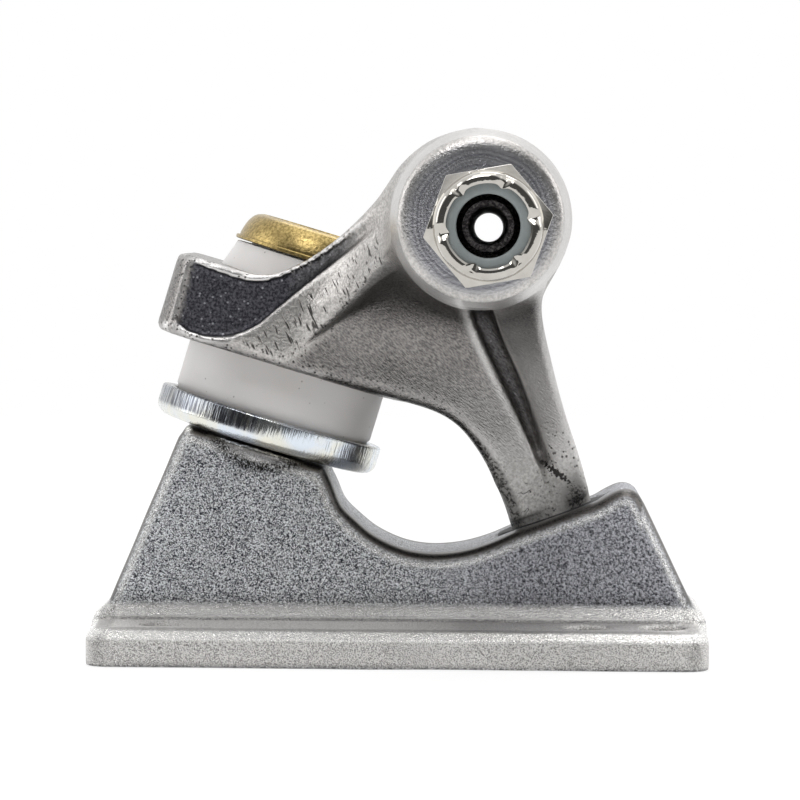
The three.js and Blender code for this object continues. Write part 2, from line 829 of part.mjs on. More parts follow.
function axle() {
  const half = axleLength / 2;
  const boreRadius = axleBore / 2;
  return turned(
    [
      [boreRadius, -half],
      [axleRadius - axleChamfer, -half],
      [axleRadius, -half + axleChamfer],
      [axleRadius, half - axleChamfer],
      [axleRadius - axleChamfer, half],
      [boreRadius, half],
    ],
    roundSides,
  );
}

function speedWasher() {
  return tube(axleRadius + seatGap, speedWasherDiameter / 2, 0, speedWasherGauge, roundSides);
}

// The truck, put together

function piece(name, made, finish) {
  const material = new THREE.MeshStandardMaterial(materials[finish]);
  const mesh = new THREE.Mesh(geometryOf(made), material);
  mesh.name = name;
  return mesh;
}

const truck = new THREE.Group();
truck.add(piece("baseplate", baseplate(), "castAluminium"));
truck.add(piece("hanger", hanger(), "castAluminium"));

const pivotAxis = new THREE.Group();
pivotAxis.position.set(pivotSetback, 0, pivotHeight);
pivotAxis.rotation.y = -pivotTilt;
pivotAxis.add(piece("pivot_cup", pivotCup(), "blackUrethane"));
truck.add(pivotAxis);

const kingpinAxis = new THREE.Group();
kingpinAxis.position.set(seatSetback, 0, seatHeight);
kingpinAxis.rotation.y = kingpinTilt;
kingpinAxis.add(
  piece("bottom_washer", bottomWasher(), "zincSteel"),
  piece("bottom_bushing", bottomBushing(), "whiteUrethane"),
  piece("top_bushing", topBushing(), "whiteUrethane"),
  piece("top_washer", topWasher(), "brassPlate"),
  piece("kingpin", kingpin(), "axleSteel"),
);
const kingpinNut = piece("kingpin_nut", lockNut(kingpinNutSize, 0), "zincSteel");
const kingpinRing = piece(
  "kingpin_nut_insert",
  lockRing(kingpinNutSize, kingpinRadius + seatGap),
  "greyNylon",
);
for (const hung of [kingpinNut, kingpinRing]) {
  hung.rotation.x = Math.PI;
  hung.position.z = kingpinNutHigh;
  kingpinAxis.add(hung);
}
truck.add(kingpinAxis);

const axleLine = new THREE.Group();
axleLine.position.set(axleSetback, 0, axleHeight);
axleLine.rotation.x = -Math.PI / 2;
axleLine.add(piece("axle", axle(), "axleSteel"));
const nutStand = axleLength / 2 + axleNutReach - axleNutHeight;
const outerWasherStand = nutStand - seatGap - speedWasherGauge;
const innerWasherStand = hangerWidth / 2 + seatGap;
for (const [side, turn] of [["left", Math.PI], ["right", 0]]) {
  const end = new THREE.Group();
  end.rotation.x = turn;
  const corner = turn > 0 ? nutCornerAngle : -nutCornerAngle;
  const fitted = [
    [`axle_nut_${side}`, lockNut(axleNutSize, corner), "nickelSteel", nutStand],
    [`axle_nut_insert_${side}`, lockRing(axleNutSize, axleRingBore / 2), "greyNylon", nutStand],
    [`speed_washer_outer_${side}`, speedWasher(), "zincSteel", outerWasherStand],
    [`speed_washer_inner_${side}`, speedWasher(), "zincSteel", innerWasherStand],
  ];
  for (const [name, made, finish, stand] of fitted) {
    const mesh = piece(name, made, finish);
    mesh.position.z = stand;
    end.add(mesh);
  }
  axleLine.add(end);
}
truck.add(axleLine);

export default truck;
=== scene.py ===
"""The looks of a skateboard truck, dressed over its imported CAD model.

Shapes are worked out in millimetres in the frame's own axes, +Z up, +X towards the pivot and +Y
along the axle, and are scaled to metres as each mesh is made.
"""
import json

import bmesh
import bpy
import numpy as np
from mathutils import Euler, Matrix

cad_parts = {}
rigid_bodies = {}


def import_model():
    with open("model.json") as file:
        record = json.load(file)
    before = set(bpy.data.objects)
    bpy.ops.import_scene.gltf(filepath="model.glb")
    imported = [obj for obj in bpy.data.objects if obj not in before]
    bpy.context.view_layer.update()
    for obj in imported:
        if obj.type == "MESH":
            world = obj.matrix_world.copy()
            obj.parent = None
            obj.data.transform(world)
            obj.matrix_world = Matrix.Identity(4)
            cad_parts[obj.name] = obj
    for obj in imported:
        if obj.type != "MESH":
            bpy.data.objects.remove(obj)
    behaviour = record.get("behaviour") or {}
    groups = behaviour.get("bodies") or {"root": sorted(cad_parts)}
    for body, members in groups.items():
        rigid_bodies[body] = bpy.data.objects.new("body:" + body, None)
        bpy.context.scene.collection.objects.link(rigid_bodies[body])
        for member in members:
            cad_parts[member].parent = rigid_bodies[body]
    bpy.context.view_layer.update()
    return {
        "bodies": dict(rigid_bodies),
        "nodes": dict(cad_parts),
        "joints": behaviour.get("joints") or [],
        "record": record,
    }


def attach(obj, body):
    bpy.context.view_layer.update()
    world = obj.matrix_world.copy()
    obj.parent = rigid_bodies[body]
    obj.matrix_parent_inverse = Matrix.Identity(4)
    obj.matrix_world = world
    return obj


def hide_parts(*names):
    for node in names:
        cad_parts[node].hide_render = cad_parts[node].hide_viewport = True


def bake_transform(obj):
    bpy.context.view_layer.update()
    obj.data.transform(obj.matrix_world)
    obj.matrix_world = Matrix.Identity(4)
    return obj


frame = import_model()


# Baseplate
# The foot of the truck: one casting in aluminium alloy that holds the kingpin, the saddle and
# the pivot socket. It is bead blasted, and handling has burnished its edges. Its forms run into
# each other with fillets, so its surface is the zero level of a distance field.
MM = 0.001
FIT = 0.3
KINGPIN_TILT = np.radians(16.5)
SEAT_X, SEAT_Z = -18.0, 27.0
PIVOT_TILT = np.radians(20.0)
MOUTH_X, MOUTH_Z = 19.6, 18.3
PLATE_LENGTH, PLATE_WIDTH, PLATE_THICKNESS = 78.5, 57.0, 4.75
PLATE_CORNER, PLATE_CHAMFER, PLATE_CROWN = 3.5, 1.1, 0.5
PLATE_RISE, PLATE_FOOT_ROUND = 10.0, 0.5
BODY_FOOT_HALF, BODY_SEAT_HALF = 15.0, 11.8
BODY_EDGE, BODY_SKIRT = 2.0, 1.9
BOSS_RADIUS, BOSS_HEIGHT, BOSS_DRAUGHT = 13.2, 2.6, 1.2
BOSS_ROUND, BOSS_SIDE_ROUND, BOSS_FILLET = 0.4, 0.9, 0.35
KINGPIN_RADIUS = 4.7625
NUT_FLATS, NUT_SEAT_DEPTH = 14.29, 12.0
SOCKET_RADIUS, SOCKET_DEPTH = 7.85, 14.25
CAVITY_LENGTH, CAVITY_WIDTH, CAVITY_CORNER, CAVITY_HEIGHT = 22.0, 15.0, 4.0, 7.6
BOLT_HOLE_RADIUS, BOLT_ROWS, BOLT_ROW_HALF = 2.75, (-30.05, 23.93, 33.45), 20.65
HOLE_ROUND, SOCKET_ROUND, CAVITY_ROUND = 0.4, 0.6, 0.8
# Height, wavelength and seed of a casting's swells
CHAMFER_SWELL, BASE_SWELL = (0.12, 1.6, 8), (0.05, 9.0, 3)
# The block of points that the casting is worked out on
BASE_PITCH, BASE_HIGH, BLOCK_MARGIN = 0.425, 31.2, 1.1
SINE_45 = 0.7071


def along_axis(x, y, z, centre_x, centre_z, tilt):
    """Places seen from an axis that leans in X by tilt: the height along it is the step from
    its centre dotted with (sin, cos), the offset across it the same step dotted with
    (cos, -sin), and the radius the hypotenuse of that offset and y."""
    height = (x - centre_x) * np.sin(tilt) + (z - centre_z) * np.cos(tilt)
    offset = (x - centre_x) * np.cos(tilt) - (z - centre_z) * np.sin(tilt)
    return height, offset, np.hypot(offset, y)


def curve(points, steps=6):
    """A smooth line through points: each span is the cubic whose slope at either end is half
    of the step between that end's neighbours."""
    points = np.asarray(points, float)
    longer = np.vstack([2 * points[0] - points[1], points, 2 * points[-1] - points[-2]])
    a, b, c, d = longer[:-3], longer[1:-2], longer[2:-1], longer[3:]
    t = np.linspace(0, 1, steps, endpoint=False)[:, None, None]
    spans = b + (c - a) * t / 2 + (2 * a - 5 * b + 4 * c - d) * t**2 / 2
    spans = spans + (3 * b - a - 3 * c + d) * t**3 / 2
    return np.vstack([spans.transpose(1, 0, 2).reshape(-1, 2), points[-1:]])


def outline_field(outline, u, v):
    """Distance from a closed outline in its plane: the least distance to one of its edges,
    negative inside, where a line to one side crosses an odd number of edges."""
    nearest = np.full(np.broadcast_shapes(u.shape, v.shape), np.inf, np.float32)
    inside = np.zeros(nearest.shape, bool)
    for (au, av), (bu, bv) in zip(outline, np.roll(outline, -1, axis=0)):
        du, dv = bu - au, bv - av
        share = np.clip(((u - au) * du + (v - av) * dv) / (du * du + dv * dv), 0, 1)
        nearest = np.minimum(nearest, (u - au - share * du) ** 2 + (v - av - share * dv) ** 2)
        if dv:
            inside ^= ((av > v) != (bv > v)) & (u < au + (v - av) * du / dv)
    return np.where(inside, -1, 1) * np.sqrt(nearest)


def rounded_box(u, v, half_u, half_v, corner):
    """Distance from a rectangle with rounded corners, in its plane: the distance from one that
    is smaller by the corner all round, less the corner."""
    du, dv = np.abs(u) - half_u + corner, np.abs(v) - half_v + corner
    outside = np.hypot(np.maximum(du, 0), np.maximum(dv, 0))
    return outside + np.minimum(np.maximum(du, dv), 0) - corner


def united(a, b, fillet):
    """Both forms: the lesser distance, less (fillet - |a - b|)^2 / (4 fillet) where the two lie
    within a fillet of each other, which fills the corner between them."""
    near = np.maximum(fillet - np.abs(a - b), 0)
    return np.minimum(a, b) - near * near / (4 * fillet)


def common(a, b, edge):
    """What two forms share: the greater distance, plus what united takes off near the edge
    between them, which rounds it."""
    return -united(-a, -b, edge)


def carved(a, b, edge):
    """The first form without the second: the greater of a and -b, with the edge of the cut
    rounded as in common."""
    return -united(-a, b, edge)


def bevelled(a, b, width):
    """What two forms share, with a flat at 45 degrees on the edge between them, where the two
    distances add up to less than a width."""
    return np.maximum(np.maximum(a, b), (a + b + width) * SINE_45)


def skirted(a, b, width):
    """Both forms, with a flat at 45 degrees in the corner between them, filled where the two
    distances add up to less than a width."""
    return np.minimum(np.minimum(a, b), (a + b - width) * SINE_45)


def unevenness(x, y, z, height, wavelength, seed):
    """A casting's slow swells: height times the mean of five sine waves of one wavelength, in
    directions and at phases that a seed fixes."""
    random = np.random.default_rng(seed)
    swell = np.float32(0)
    for _ in range(5):
        wave = random.normal(size=3)
        wave *= 2 * np.pi / wavelength / np.linalg.norm(wave)
        kx, ky, kz, phase = (np.float32(v) for v in (*wave, random.uniform(0, 2 * np.pi)))
        swell = swell + np.sin(kx * x + ky * y + kz * z + phase)
    return height * swell / 5


def grid_axes(low, high, pitch):
    """Three axes of a block of points, each laid along its own dimension."""
    axes = [np.arange(a, b + pitch, pitch, dtype=np.float32) for a, b in zip(low, high)]
    return np.meshgrid(*axes, indexing="ij", sparse=True)


def skin(field, low, pitch):
    """The zero level of a field on a block of points, as a mesh of four-sided faces, for forms
    that a grid of two parameters can't give. An edge of the block whose ends differ in sign is
    crossed at a / (a - b) of its length. Each cell gets one point, the mean of the crossings on
    its edges, and each crossed edge a face between its four cells."""
    crossings, cells, corners_turned = [], [], []
    for axis in range(3):
        turned_field = np.moveaxis(field, [axis, (axis + 1) % 3, (axis + 2) % 3], [0, 1, 2])
        start, end = turned_field[:-1], turned_field[1:]
        place = np.argwhere((start < 0) != (end < 0))
        a, b = start[tuple(place.T)], end[tuple(place.T)]
        crossing = place.astype(float)
        crossing[:, 0] += a / (a - b)
        around = np.array([[0, -1, -1], [0, 0, -1], [0, 0, 0], [0, -1, 0]])
        cell = np.roll(place[:, None, :] + around, axis, axis=2)
        crossings.append(np.roll(crossing, axis, axis=1))
        cells.append(np.ravel_multi_index(tuple(np.moveaxis(cell, 2, 0)), field.shape))
        corners_turned.append(a > 0)
    crossings, cells = np.vstack(crossings), np.vstack(cells)
    flip = np.concatenate(corners_turned)
    used, faces = np.unique(cells, return_inverse=True)
    faces = faces.reshape(-1, 4)
    count = np.bincount(faces.ravel(), minlength=len(used))
    sums = [np.bincount(faces.ravel(), np.repeat(crossings[:, k], 4)) for k in range(3)]
    points = np.stack(sums, axis=1) / count[:, None]
    faces[flip] = faces[flip][:, ::-1]
    return points * pitch + np.asarray(low), faces


def convexity(points, faces, rounds):
    """How sharply the surface bulges at each point, in 1/mm: the mean over its neighbours of
    -2 (step . normal) / step^2, evened out over the neighbours a few times."""
    start, end = faces.ravel(), np.roll(faces, -1, axis=1).ravel()
    corner = points[faces]
    face_normal = np.cross(corner[:, 2] - corner[:, 0], corner[:, 3] - corner[:, 1])
    weight = np.repeat(face_normal, 4, axis=0)
    normal = np.stack([np.bincount(start, weight[:, k]) for k in range(3)], axis=1)
    normal /= np.linalg.norm(normal, axis=1)[:, None]
    step = points[end] - points[start]
    bend = -2 * np.sum(step * normal[start], axis=1) / np.sum(step * step, axis=1)
    count = np.bincount(start)
    bend = np.bincount(start, bend) / count
    for _ in range(rounds):
        bend = (bend + np.bincount(start, bend[end]) / count) / 2
    return bend


def new_piece(name, points, faces, material):
    """An object at the origin whose mesh holds the points, given in millimetres."""
    mesh = bpy.data.meshes.new(name)
    mesh.from_pydata((points * MM).tolist(), [], faces.tolist())
    mesh.materials.append(material)
    mesh.shade_smooth()
    piece = bpy.data.objects.new(name, mesh)
    bpy.context.scene.collection.objects.link(piece)
    return piece


def add_share(piece, name, values):
    """A number from 0 to 1 at each point of a piece, which its material reads by name."""
    layer = piece.data.attributes.new(name, "FLOAT", "POINT")
    layer.data.foreach_set("value", np.clip(values, 0, 1).astype(np.float32).ravel())


def colour(code):
    """Linear colour of an sRGB hex value: c / 12.92 up to 0.04045, and above it
    ((c + 0.055) / 1.055) to the power of 2.4."""
    part = np.array([int(code[i : i + 2], 16) for i in (0, 2, 4)]) / 255
    linear = np.where(part <= 0.04045, part / 12.92, ((part + 0.055) / 1.055) ** 2.4)
    return (*linear.tolist(), 1.0)


def new_material(name):
    """A material with its own node tree, and that tree's Principled shader."""
    material = bpy.data.materials.new(name)
    material.use_nodes = True
    return material, material.node_tree, material.node_tree.nodes["Principled BSDF"]


def add_node(tree, kind, inputs, **settings):
    """Adds a node, sets its options, and sets or links its inputs by name or number."""
    node = tree.nodes.new(kind)
    for option, value in settings.items():
        setattr(node, option, value)
    for socket, value in inputs.items():
        if isinstance(value, bpy.types.NodeSocket):
            tree.links.new(value, node.inputs[socket])
        else:
            node.inputs[socket].default_value = value
    return node


# The body's side outline in X and Z: heel slope, seat, saddle, pivot mouth, toe boss, toe slope
BODY_OUTLINE = np.vstack([
    [(-38.4, 2.0), (-37.75, 5.9), (-28.5, 28.3), (-27.4, 29.78)],
    curve([(-9.7, 24.5), (-8.6, 22.2), (-7.5, 19.7), (-5.6, 17.8), (-3.3, 15.95), (-0.3, 14.5),
           (2.4, 13.85), (5.2, 13.75), (8.3, 14.15), (11.5, 15.1), (14.9, 16.6)], 4),
    curve([(25.3, 20.4), (26.8, 21.3), (28.4, 22.0), (29.6, 22.0), (30.6, 21.4), (31.4, 20.1)], 3),
    [(38.3, 5.9), (39.2, 2.0)],
])


def past_boss(up, radius):
    """Distance outside the seat boss: the radius less the boss's own, which grows by the
    draught over the boss's height."""
    return radius - BOSS_RADIUS - BOSS_DRAUGHT / BOSS_HEIGHT * up


def baseplate_field(x, y, z):
    """The casting: plate, draughted body and seat boss, less the holes, pocket and cavity."""
    up, across, radius = along_axis(x, y, z, SEAT_X, SEAT_Z, KINGPIN_TILT)
    in_socket, _, socket_radius = along_axis(x, y, z, MOUTH_X, MOUTH_Z, -PIVOT_TILT)

    # The plate's top rises a little from its chamfered rim to the foot of the body.
    from_rim = np.clip((PLATE_WIDTH / 2 - PLATE_CHAMFER - np.abs(y)) / PLATE_RISE, 0, 1)
    plan = rounded_box(x, y, PLATE_LENGTH / 2, PLATE_WIDTH / 2, PLATE_CORNER)
    top = PLATE_THICKNESS + PLATE_CROWN * from_rim
    ragged = unevenness(x, y, z, *CHAMFER_SWELL)
    plate = bevelled(plan, z - top, PLATE_CHAMFER + ragged)
    plate = common(plate, -z, PLATE_FOOT_ROUND)

    side = outline_field(BODY_OUTLINE, x, z)
    slope = (BODY_FOOT_HALF - BODY_SEAT_HALF) / (SEAT_Z - PLATE_THICKNESS - PLATE_CROWN)
    half = BODY_FOOT_HALF - slope * (z - PLATE_THICKNESS - PLATE_CROWN)
    body = common(side, (np.abs(y) - half) / np.hypot(1, slope), BODY_EDGE)
    boss = common(past_boss(up, radius), -BOSS_HEIGHT - up, BOSS_ROUND)
    boss = common(boss, side, BOSS_SIDE_ROUND)
    form = np.maximum(united(skirted(plate, body, BODY_SKIRT), boss, BOSS_FILLET), plan)
    form = form + unevenness(x, y, z, *BASE_SWELL)

    form = carved(form, radius - KINGPIN_RADIUS - FIT, HOLE_ROUND)
    third = np.radians(60)
    hexagon = np.maximum.reduce(np.broadcast_arrays(
        *[np.abs(across * np.cos(k * third) + y * np.sin(k * third)) for k in range(3)]))
    pocket = np.maximum(hexagon - NUT_FLATS / 2 - FIT, up + NUT_SEAT_DEPTH)
    form = carved(form, pocket, HOLE_ROUND)
    socket = np.maximum(socket_radius - SOCKET_RADIUS, -in_socket - SOCKET_DEPTH)
    form = carved(form, socket, SOCKET_ROUND)
    cavity = rounded_box(x, y, CAVITY_LENGTH / 2, CAVITY_WIDTH / 2, CAVITY_CORNER)
    form = carved(form, np.maximum(cavity, z - CAVITY_HEIGHT), CAVITY_ROUND)
    for row in BOLT_ROWS:
        hole = np.hypot(x - row, np.abs(y) - BOLT_ROW_HALF) - BOLT_HOLE_RADIUS
        form = carved(form, hole, HOLE_ROUND)
    return form


# Bead-blasted aluminium: a fine, even grain of dents in blue-grey, whose colours run from near
# black to near white as painted reflections, as if each dent mirrored another part of the room.
# Towards the toe it is coarser and its dents run together. The dents are about 0.1 mm across on
# the real one and are drawn at 0.13 mm, and at 0.3 mm by the toe, so that they show. Handling
# has smoothed the body's rounded edges, which are also painted darker as shade along the saddle
# and on the seat boss. Painted highlights, near white, lie on the chamfer, the body's foot and a
# line in from its edges, over real wear on the convex edges, and the plate and the body's foot
# are painted paler and smoother than the body, as painted light. Painted shade and grime darken
# the creases, fine lines on the plate's top and at the body's foot, the plate's lower edge and
# corners, and the edges of the saddle and the seat boss, and a band above the foot is speckled
# darker.
DENT_WIDTH, FINE_WIDTH, COARSE_WIDTH, DENT_DEPTH, COARSE_FROM_X = 0.13, 0.12, 0.3, 0.3, 14.0

blasted_aluminium, tree, shader = new_material("bead_blasted_aluminium")
place = add_node(tree, "ShaderNodeTexCoord", {}).outputs["Object"]
wear_and_highlight, smoothed_and_shaded, grimy_and_shaded, rim_painted_light = (
    add_node(tree, "ShaderNodeAttribute", {}, attribute_name=share).outputs["Fac"]
    for share in ("burnished_and_highlit", "smoothed_and_shaded", "grime_and_painted_shade", "rim_painted_light"))
dents = add_node(tree, "ShaderNodeTexVoronoi", {"Vector": place, "Scale": 1 / (DENT_WIDTH * MM)})
dent = add_node(tree, "ShaderNodeSeparateColor", {"Color": dents.outputs["Color"]})
fine = add_node(tree, "ShaderNodeTexNoise", {
    "Vector": place, "Scale": 1 / (FINE_WIDTH * MM), "Detail": 0.0})
coarse = add_node(tree, "ShaderNodeTexNoise", {
    "Vector": place, "Scale": 1 / (COARSE_WIDTH * MM), "Detail": 2.0, "Distortion": 0.6})
along = add_node(tree, "ShaderNodeSeparateXYZ", {"Vector": place})
toeward = add_node(tree, "ShaderNodeMapRange", {
    "Value": along.outputs["X"], "From Min": 0.0, "From Max": COARSE_FROM_X * MM,
    "To Max": 0.8})
fine_share = add_node(tree, "ShaderNodeMapRange", {
    "Value": dent.outputs["Red"], "From Min": 0.15, "From Max": 0.85})
# Each dent's colour, from near black to near white, is a painted reflection of the room.
fine_colour = add_node(tree, "ShaderNodeMix", {
    0: fine_share.outputs["Result"], 6: colour("2b2d37"), 7: colour("fafcff")}, data_type="RGBA")
coarse_share = add_node(tree, "ShaderNodeMapRange", {
    "Value": coarse.outputs["Fac"], "From Min": 0.38, "From Max": 0.62})
coarse_colour = add_node(tree, "ShaderNodeMix", {
    0: coarse_share.outputs["Result"], 6: colour("33343a"), 7: colour("cbccd4")},
    data_type="RGBA")
grain_and_glint_colour = add_node(tree, "ShaderNodeMix", {
    0: toeward.outputs["Result"], 6: fine_colour.outputs[2], 7: coarse_colour.outputs[2]},
    data_type="RGBA")
# Painted light: below 7.2 mm the plate and the body's foot are painted paler and smoother, for the
# brighter reflection they catch.
rim_share = add_node(tree, "ShaderNodeMapRange", {
    "Value": fine.outputs["Fac"], "From Min": 0.3, "From Max": 0.58})
rim_painted_reflection = add_node(tree, "ShaderNodeMix", {
    0: rim_share.outputs["Result"], 6: colour("928f8d"), 7: colour("eeecea")}, data_type="RGBA")
field_colour = add_node(tree, "ShaderNodeMix", {
    0: rim_painted_light, 6: grain_and_glint_colour.outputs[2], 7: rim_painted_reflection.outputs[2]}, data_type="RGBA")
# Painted shade: the smoothed band along the saddle and on the seat boss is darkened.
smoothed_edge_shade = add_node(tree, "ShaderNodeMix", {
    0: smoothed_and_shaded, 6: field_colour.outputs[2], 7: colour("6e6b69")}, data_type="RGBA")
# Painted highlights: the chamfer, the body's foot and a line in from its edges are lightened near
# white, over real wear on the convex edges.
wear_and_highlight_share = add_node(tree, "ShaderNodeMapRange", {
    "Value": dent.outputs["Green"], "From Min": 0.1, "From Max": 0.6, "To Min": 0.5,
    "To Max": 1.0})
wear_and_highlight_patches = add_node(tree, "ShaderNodeMath", {
    0: wear_and_highlight, 1: wear_and_highlight_share.outputs["Result"]}, operation="MULTIPLY")
rubbed_and_highlit = add_node(tree, "ShaderNodeMix", {
    0: wear_and_highlight_patches.outputs["Value"], 6: smoothed_edge_shade.outputs[2], 7: colour("f8f7f5")},
    data_type="RGBA")
# Painted shade, with some grime: creases, fine lines, corners and the edges of the saddle and the boss
# are darkened towards 2f2e2c.
grime_and_shade_grain = add_node(tree, "ShaderNodeMapRange", {
    "Value": dent.outputs["Blue"], "From Min": 0.3, "From Max": 0.7, "To Min": 0.3,
    "To Max": 1.6})
grime_and_shade_share = add_node(tree, "ShaderNodeMath", {
    0: grimy_and_shaded, 1: grime_and_shade_grain.outputs["Result"]}, operation="MULTIPLY", use_clamp=True)
grimed_and_shaded = add_node(tree, "ShaderNodeMix", {
    0: grime_and_shade_share.outputs["Value"], 6: rubbed_and_highlit.outputs[2], 7: colour("2f2e2c")}, data_type="RGBA")
tree.links.new(grimed_and_shaded.outputs[2], shader.inputs["Base Color"])
gloss = add_node(tree, "ShaderNodeMapRange", {"Value": wear_and_highlight, "To Min": 0.36, "To Max": 0.17})
tree.links.new(gloss.outputs["Result"], shader.inputs["Roughness"])
height = add_node(tree, "ShaderNodeMix", {
    0: toeward.outputs["Result"], 2: fine.outputs["Fac"], 3: coarse.outputs["Fac"]})
roughened = add_node(tree, "ShaderNodeMapRange", {
    "Value": smoothed_and_shaded, "To Min": 1.0, "To Max": 0.12})
dented = add_node(tree, "ShaderNodeBump", {
    "Height": height.outputs[0], "Strength": roughened.outputs["Result"],
    "Distance": DENT_DEPTH * MM})
tree.links.new(dented.outputs["Normal"], shader.inputs["Normal"])
shader.inputs["Metallic"].default_value = 1.0


def faded(value, start, end):
    """A share that goes from 0 where a value is at start to 1 where it is at end."""
    return np.clip((value - start) / (end - start), 0, 1)


def line_at(distance, place, width):
    """A soft line where a distance is at its place: exp(-((distance - place) / width)^2)."""
    return np.exp(-(((distance - place) / width) ** 2))


# Where wear, grime, painted highlights and painted shade lie. A pair is the place where a band
# starts and the one where it is full.
FLANK_LOW, FLANK_RISE, FLANK_FOOT, FLANK_BAND = 5.0, 22.0, 7.5, (-4.5, -3.0)
SADDLE_HEEL, SADDLE_TOE = -27.0, 31.0
RUB_HIGHLIGHT_ON_SADDLE, RUB_HIGHLIGHT_ON_SLOPE, RUB_HIGHLIGHT_WIDTH = 1.5, 0.95, 0.32
SADDLE_LINE_IN, SADDLE_LINE_WIDTH = 0.3, 0.25
SMOOTH_SHADE_ON_SADDLE, SMOOTH_SHADE_ON_SLOPE, SMOOTH_SHADE_FADE = 1.15, 0.6, 0.4
CHAMFER_SLACK = 0.1
FOOT_HIGH, FOOT_BAND, FOOT_IN = 6.5, (1.12, 0.42), 15.0
FOOT_LINE_HIGH, FOOT_LINE_BAND, FOOT_LINE_IN = 5.45, (0.192, 0.072), 13.2
SPECKLE_HIGH, SPECKLE_BAND = 7.7, (1.5, 0.0)
TOP_EDGE_SHADE_IN, TOP_EDGE_SHADE_BAND, TOP_EDGE_SHADE_DEPTH = 2.2, (1.2, 0.2), 0.4
UNDERLINE_BAND, UNDERLINE_IN = (0.45, 0.25), 0.5
CORNER_X_BAND, CORNER_Y_BAND = (36.0, 37.5), (27.0, 28.0)
BOSS_BAND, BOSS_NEAR, BOSS_LINE_WIDTH, BOSS_LOW, BOSS_TOE = (0.09, 0.39), 0.7, 0.45, 16.0, -4.0
RIM_HIGH, RIM_LOW = 7.2, 0.2

block_half = np.array([PLATE_LENGTH / 2, PLATE_WIDTH / 2, 0]) + BLOCK_MARGIN
block_low, block_high = -block_half, np.array([block_half[0], block_half[1], BASE_HIGH])
points, faces = skin(baseplate_field(*grid_axes(block_low, block_high, BASE_PITCH)),
                     block_low, BASE_PITCH)
baseplate = new_piece("cast_baseplate", points, faces, blasted_aluminium)
x, y, z = points.T
bulge = convexity(points, faces, 2)
in_body = -outline_field(BODY_OUTLINE, x, z)
in_plate = -rounded_box(x, y, PLATE_LENGTH / 2, PLATE_WIDTH / 2, PLATE_CORNER)
body_half = BODY_FOOT_HALF - (BODY_FOOT_HALF - BODY_SEAT_HALF) * (z - FLANK_LOW) / FLANK_RISE
past_flank = np.abs(y) - body_half
boss_up, _, from_pin = along_axis(x, y, z, SEAT_X, SEAT_Z, KINGPIN_TILT)
off_boss = past_boss(boss_up, from_pin)
on_flank = faded(past_flank, *FLANK_BAND) * (z > FLANK_FOOT)
on_saddle = (x > SADDLE_HEEL) * (x < SADDLE_TOE)
# Painted highlights: a bright line in from the body's side outline, the plate's chamfer and a band at
# the body's foot.
rubbed_highlight_line = on_flank * line_at(
    in_body, np.where(on_saddle, RUB_HIGHLIGHT_ON_SADDLE, RUB_HIGHLIGHT_ON_SLOPE), RUB_HIGHLIGHT_WIDTH)
chamfered = ((in_plate < PLATE_CHAMFER + CHAMFER_SLACK)
             * (z > PLATE_THICKNESS - PLATE_CHAMFER - CHAMFER_SLACK))
foot = faded(np.abs(z - FOOT_HIGH), *FOOT_BAND) * (in_plate < FOOT_IN)
# Painted shade: dark lines along the saddle's edge, the plate's top, the body's foot and the plate's
# lower edge, at its corners, and round the seat boss.
saddle_line = line_at(in_body, SADDLE_LINE_IN, SADDLE_LINE_WIDTH) * on_flank * on_saddle
top_edge_shade_line = np.minimum(faded(np.abs(in_plate - TOP_EDGE_SHADE_IN), *TOP_EDGE_SHADE_BAND), 0.35)
foot_line = np.minimum(faded(np.abs(z - FOOT_LINE_HIGH), *FOOT_LINE_BAND), 0.4)
underline = np.minimum(faded(z, *UNDERLINE_BAND), 0.6)
speckled_foot = faded(np.abs(z - SPECKLE_HIGH), *SPECKLE_BAND)
corner = faded(np.abs(x), *CORNER_X_BAND) * faded(np.abs(y), *CORNER_Y_BAND)
on_boss = (faded(past_flank, *BOSS_BAND) * (z > BOSS_LOW)
           * (np.abs(off_boss) < BOSS_NEAR))
boss_line = (line_at(np.hypot(off_boss, past_flank), 0, BOSS_LINE_WIDTH)
             * (z > BOSS_LOW) * (x < BOSS_TOE))
# The smoothed band is also painted darker, as shade.
smooth_shade_edge = (np.where(on_saddle, SMOOTH_SHADE_ON_SADDLE, SMOOTH_SHADE_ON_SLOPE) - in_body) / SMOOTH_SHADE_FADE
# Wear on convex edges, and painted highlights on the edge line, the chamfer and the foot.
add_share(baseplate, "burnished_and_highlit", np.maximum.reduce([
    (bulge - 0.5) * 1.6, 0.85 * rubbed_highlight_line, chamfered, 0.8 * foot]))
# Painted shade and grime in creases, lines and corners, and a band above the foot speckled darker.
add_share(baseplate, "grime_and_painted_shade", np.maximum.reduce([
    np.minimum(-bulge - 0.4, 0.45), top_edge_shade_line * (z > PLATE_THICKNESS - TOP_EDGE_SHADE_DEPTH),
    foot_line * (in_plate < FOOT_LINE_IN), underline * (in_plate < UNDERLINE_IN),
    0.3 * speckled_foot, 0.35 * corner, 0.6 * saddle_line, 0.95 * boss_line]))
# Smoothed edges, also painted darker as shade.
add_share(baseplate, "smoothed_and_shaded", np.maximum(smooth_shade_edge * on_flank, 0.6 * on_boss))
# Painted light: the plate and the body's foot are painted paler below 7.2 mm.
add_share(baseplate, "rim_painted_light", (RIM_HIGH - z) * 3 * (z > RIM_LOW))
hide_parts("baseplate")
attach(baseplate, "base")


# Pivot cup
# A moulded urethane cup, pressed into the baseplate's socket, in which the hanger's nose swivels.
CUP_INNER, CUP_OUTER, BALL_DEPTH, CUP_FLOOR = 5.65, 7.55, 6.3, 2.0
CUP_DRAUGHT, CUP_ROUND = 0.6, 0.4


